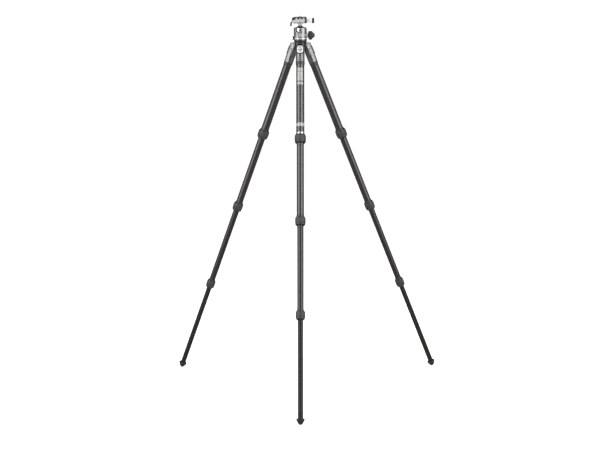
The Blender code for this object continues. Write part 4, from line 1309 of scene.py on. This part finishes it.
def build_floor():
    half = FLOOR_HALF
    bm = bmesh.new()
    corners = ((-half, -half), (half, -half), (half, half), (-half, half))
    bm.faces.new([bm.verts.new((x, y, 0)) for x, y in corners])
    floor = shape(bm)
    floor.name = "floor"
    look = Look("pale_floor", (0.93, 0.93, 0.93), 0.85, Specular_IOR_Level=0.1)
    look.shader.inputs["Emission Color"].default_value = (1, 1, 1, 1)
    look.shader.inputs["Emission Strength"].default_value = FLOOR_GLOW
    look.set("Base Color", look.mix(look.noise(3.0), (0.92, 0.92, 0.92), (0.94, 0.94, 0.94)))
    floor.data.materials.append(look.material)
    floor.visible_glossy = False


def area_light(name, azimuth, distance, height, width, tall, power, target_height):
    """A softbox that faces the tripod, at an azimuth counted from -Y towards +X."""
    data = bpy.data.lights.new(name, "AREA")
    data.shape = "RECTANGLE"
    data.size, data.size_y, data.energy = width, tall, power
    light = new_object(name, data)
    angle = math.radians(azimuth)
    light.location = Vector((distance * math.sin(angle), -distance * math.cos(angle), height))
    aim = Vector((0, 0, target_height)) - light.location
    light.rotation_euler = aim.to_track_quat("-Z", "Y").to_euler()
    light.visible_camera = False


def build_light():
    bpy.context.scene.view_settings.view_transform = "Standard"
    world = bpy.data.worlds.new("studio")
    bpy.context.scene.world = world
    world.use_nodes = True
    nodes, links = world.node_tree.nodes, world.node_tree.links
    background = nodes["Background"]
    path = nodes.new("ShaderNodeLightPath")
    mix, backdrop = nodes.new("ShaderNodeMix"), nodes.new("ShaderNodeMix")
    mix.inputs[2].default_value = LIGHT_FROM_ROOM
    mix.inputs[3].default_value = ROOM_IN_GLOSS
    backdrop.inputs[3].default_value = ROOM_IN_CAMERA
    links.new(path.outputs["Is Glossy Ray"], mix.inputs[0])
    links.new(mix.outputs[0], backdrop.inputs[2])
    links.new(path.outputs["Is Camera Ray"], backdrop.inputs[0])
    links.new(backdrop.outputs[0], background.inputs["Strength"])
    background.inputs["Color"].default_value = (1, 1, 1, 1)
    for side, azimuth in (("left", -SOFTBOX_AZIMUTH), ("right", SOFTBOX_AZIMUTH)):
        area_light(f"{side}_softbox", azimuth, 2.8, 2.9, 2.5, 3.4, SOFTBOX_POWER, 1.9)
        area_light(f"{side}_fill", azimuth, 2.8, 0.5, 2.5, 1.3, FILL_POWER, 0.3)
    for side, azimuth in (("left", -BACK_AZIMUTH), ("right", BACK_AZIMUTH)):
        area_light(f"back_{side}_softbox", azimuth, 3.0, 1.2, 1.0, 2.4, BACK_POWER, 0.9)


def build_camera():
    pan, pitch, roll = CAMERA_PAN, CAMERA_PITCH, CAMERA_ROLL
    data = bpy.data.cameras.new("camera")
    data.sensor_width, data.lens = CAMERA_SENSOR, CAMERA_LENS
    camera = new_object("camera", data)
    level = math.cos(pitch)
    forward = Vector((math.sin(pan) * level, math.cos(pan) * level, math.sin(pitch)))
    right = Vector((math.cos(pan), -math.sin(pan), 0))
    up = right.cross(forward)
    across = right * math.cos(roll) + up * math.sin(roll)
    upwards = up * math.cos(roll) - right * math.sin(roll)
    matrix = Matrix((across, upwards, -forward)).transposed().to_4x4()
    matrix.translation = AXIS + Vector(CAMERA_PLACE)
    camera.matrix_world = matrix
    bpy.context.scene.camera = camera


build_legs()
build_apex()
build_head()
build_clamp()
build_plate()
dress_nodes()
build_floor()
build_light()
build_camera()
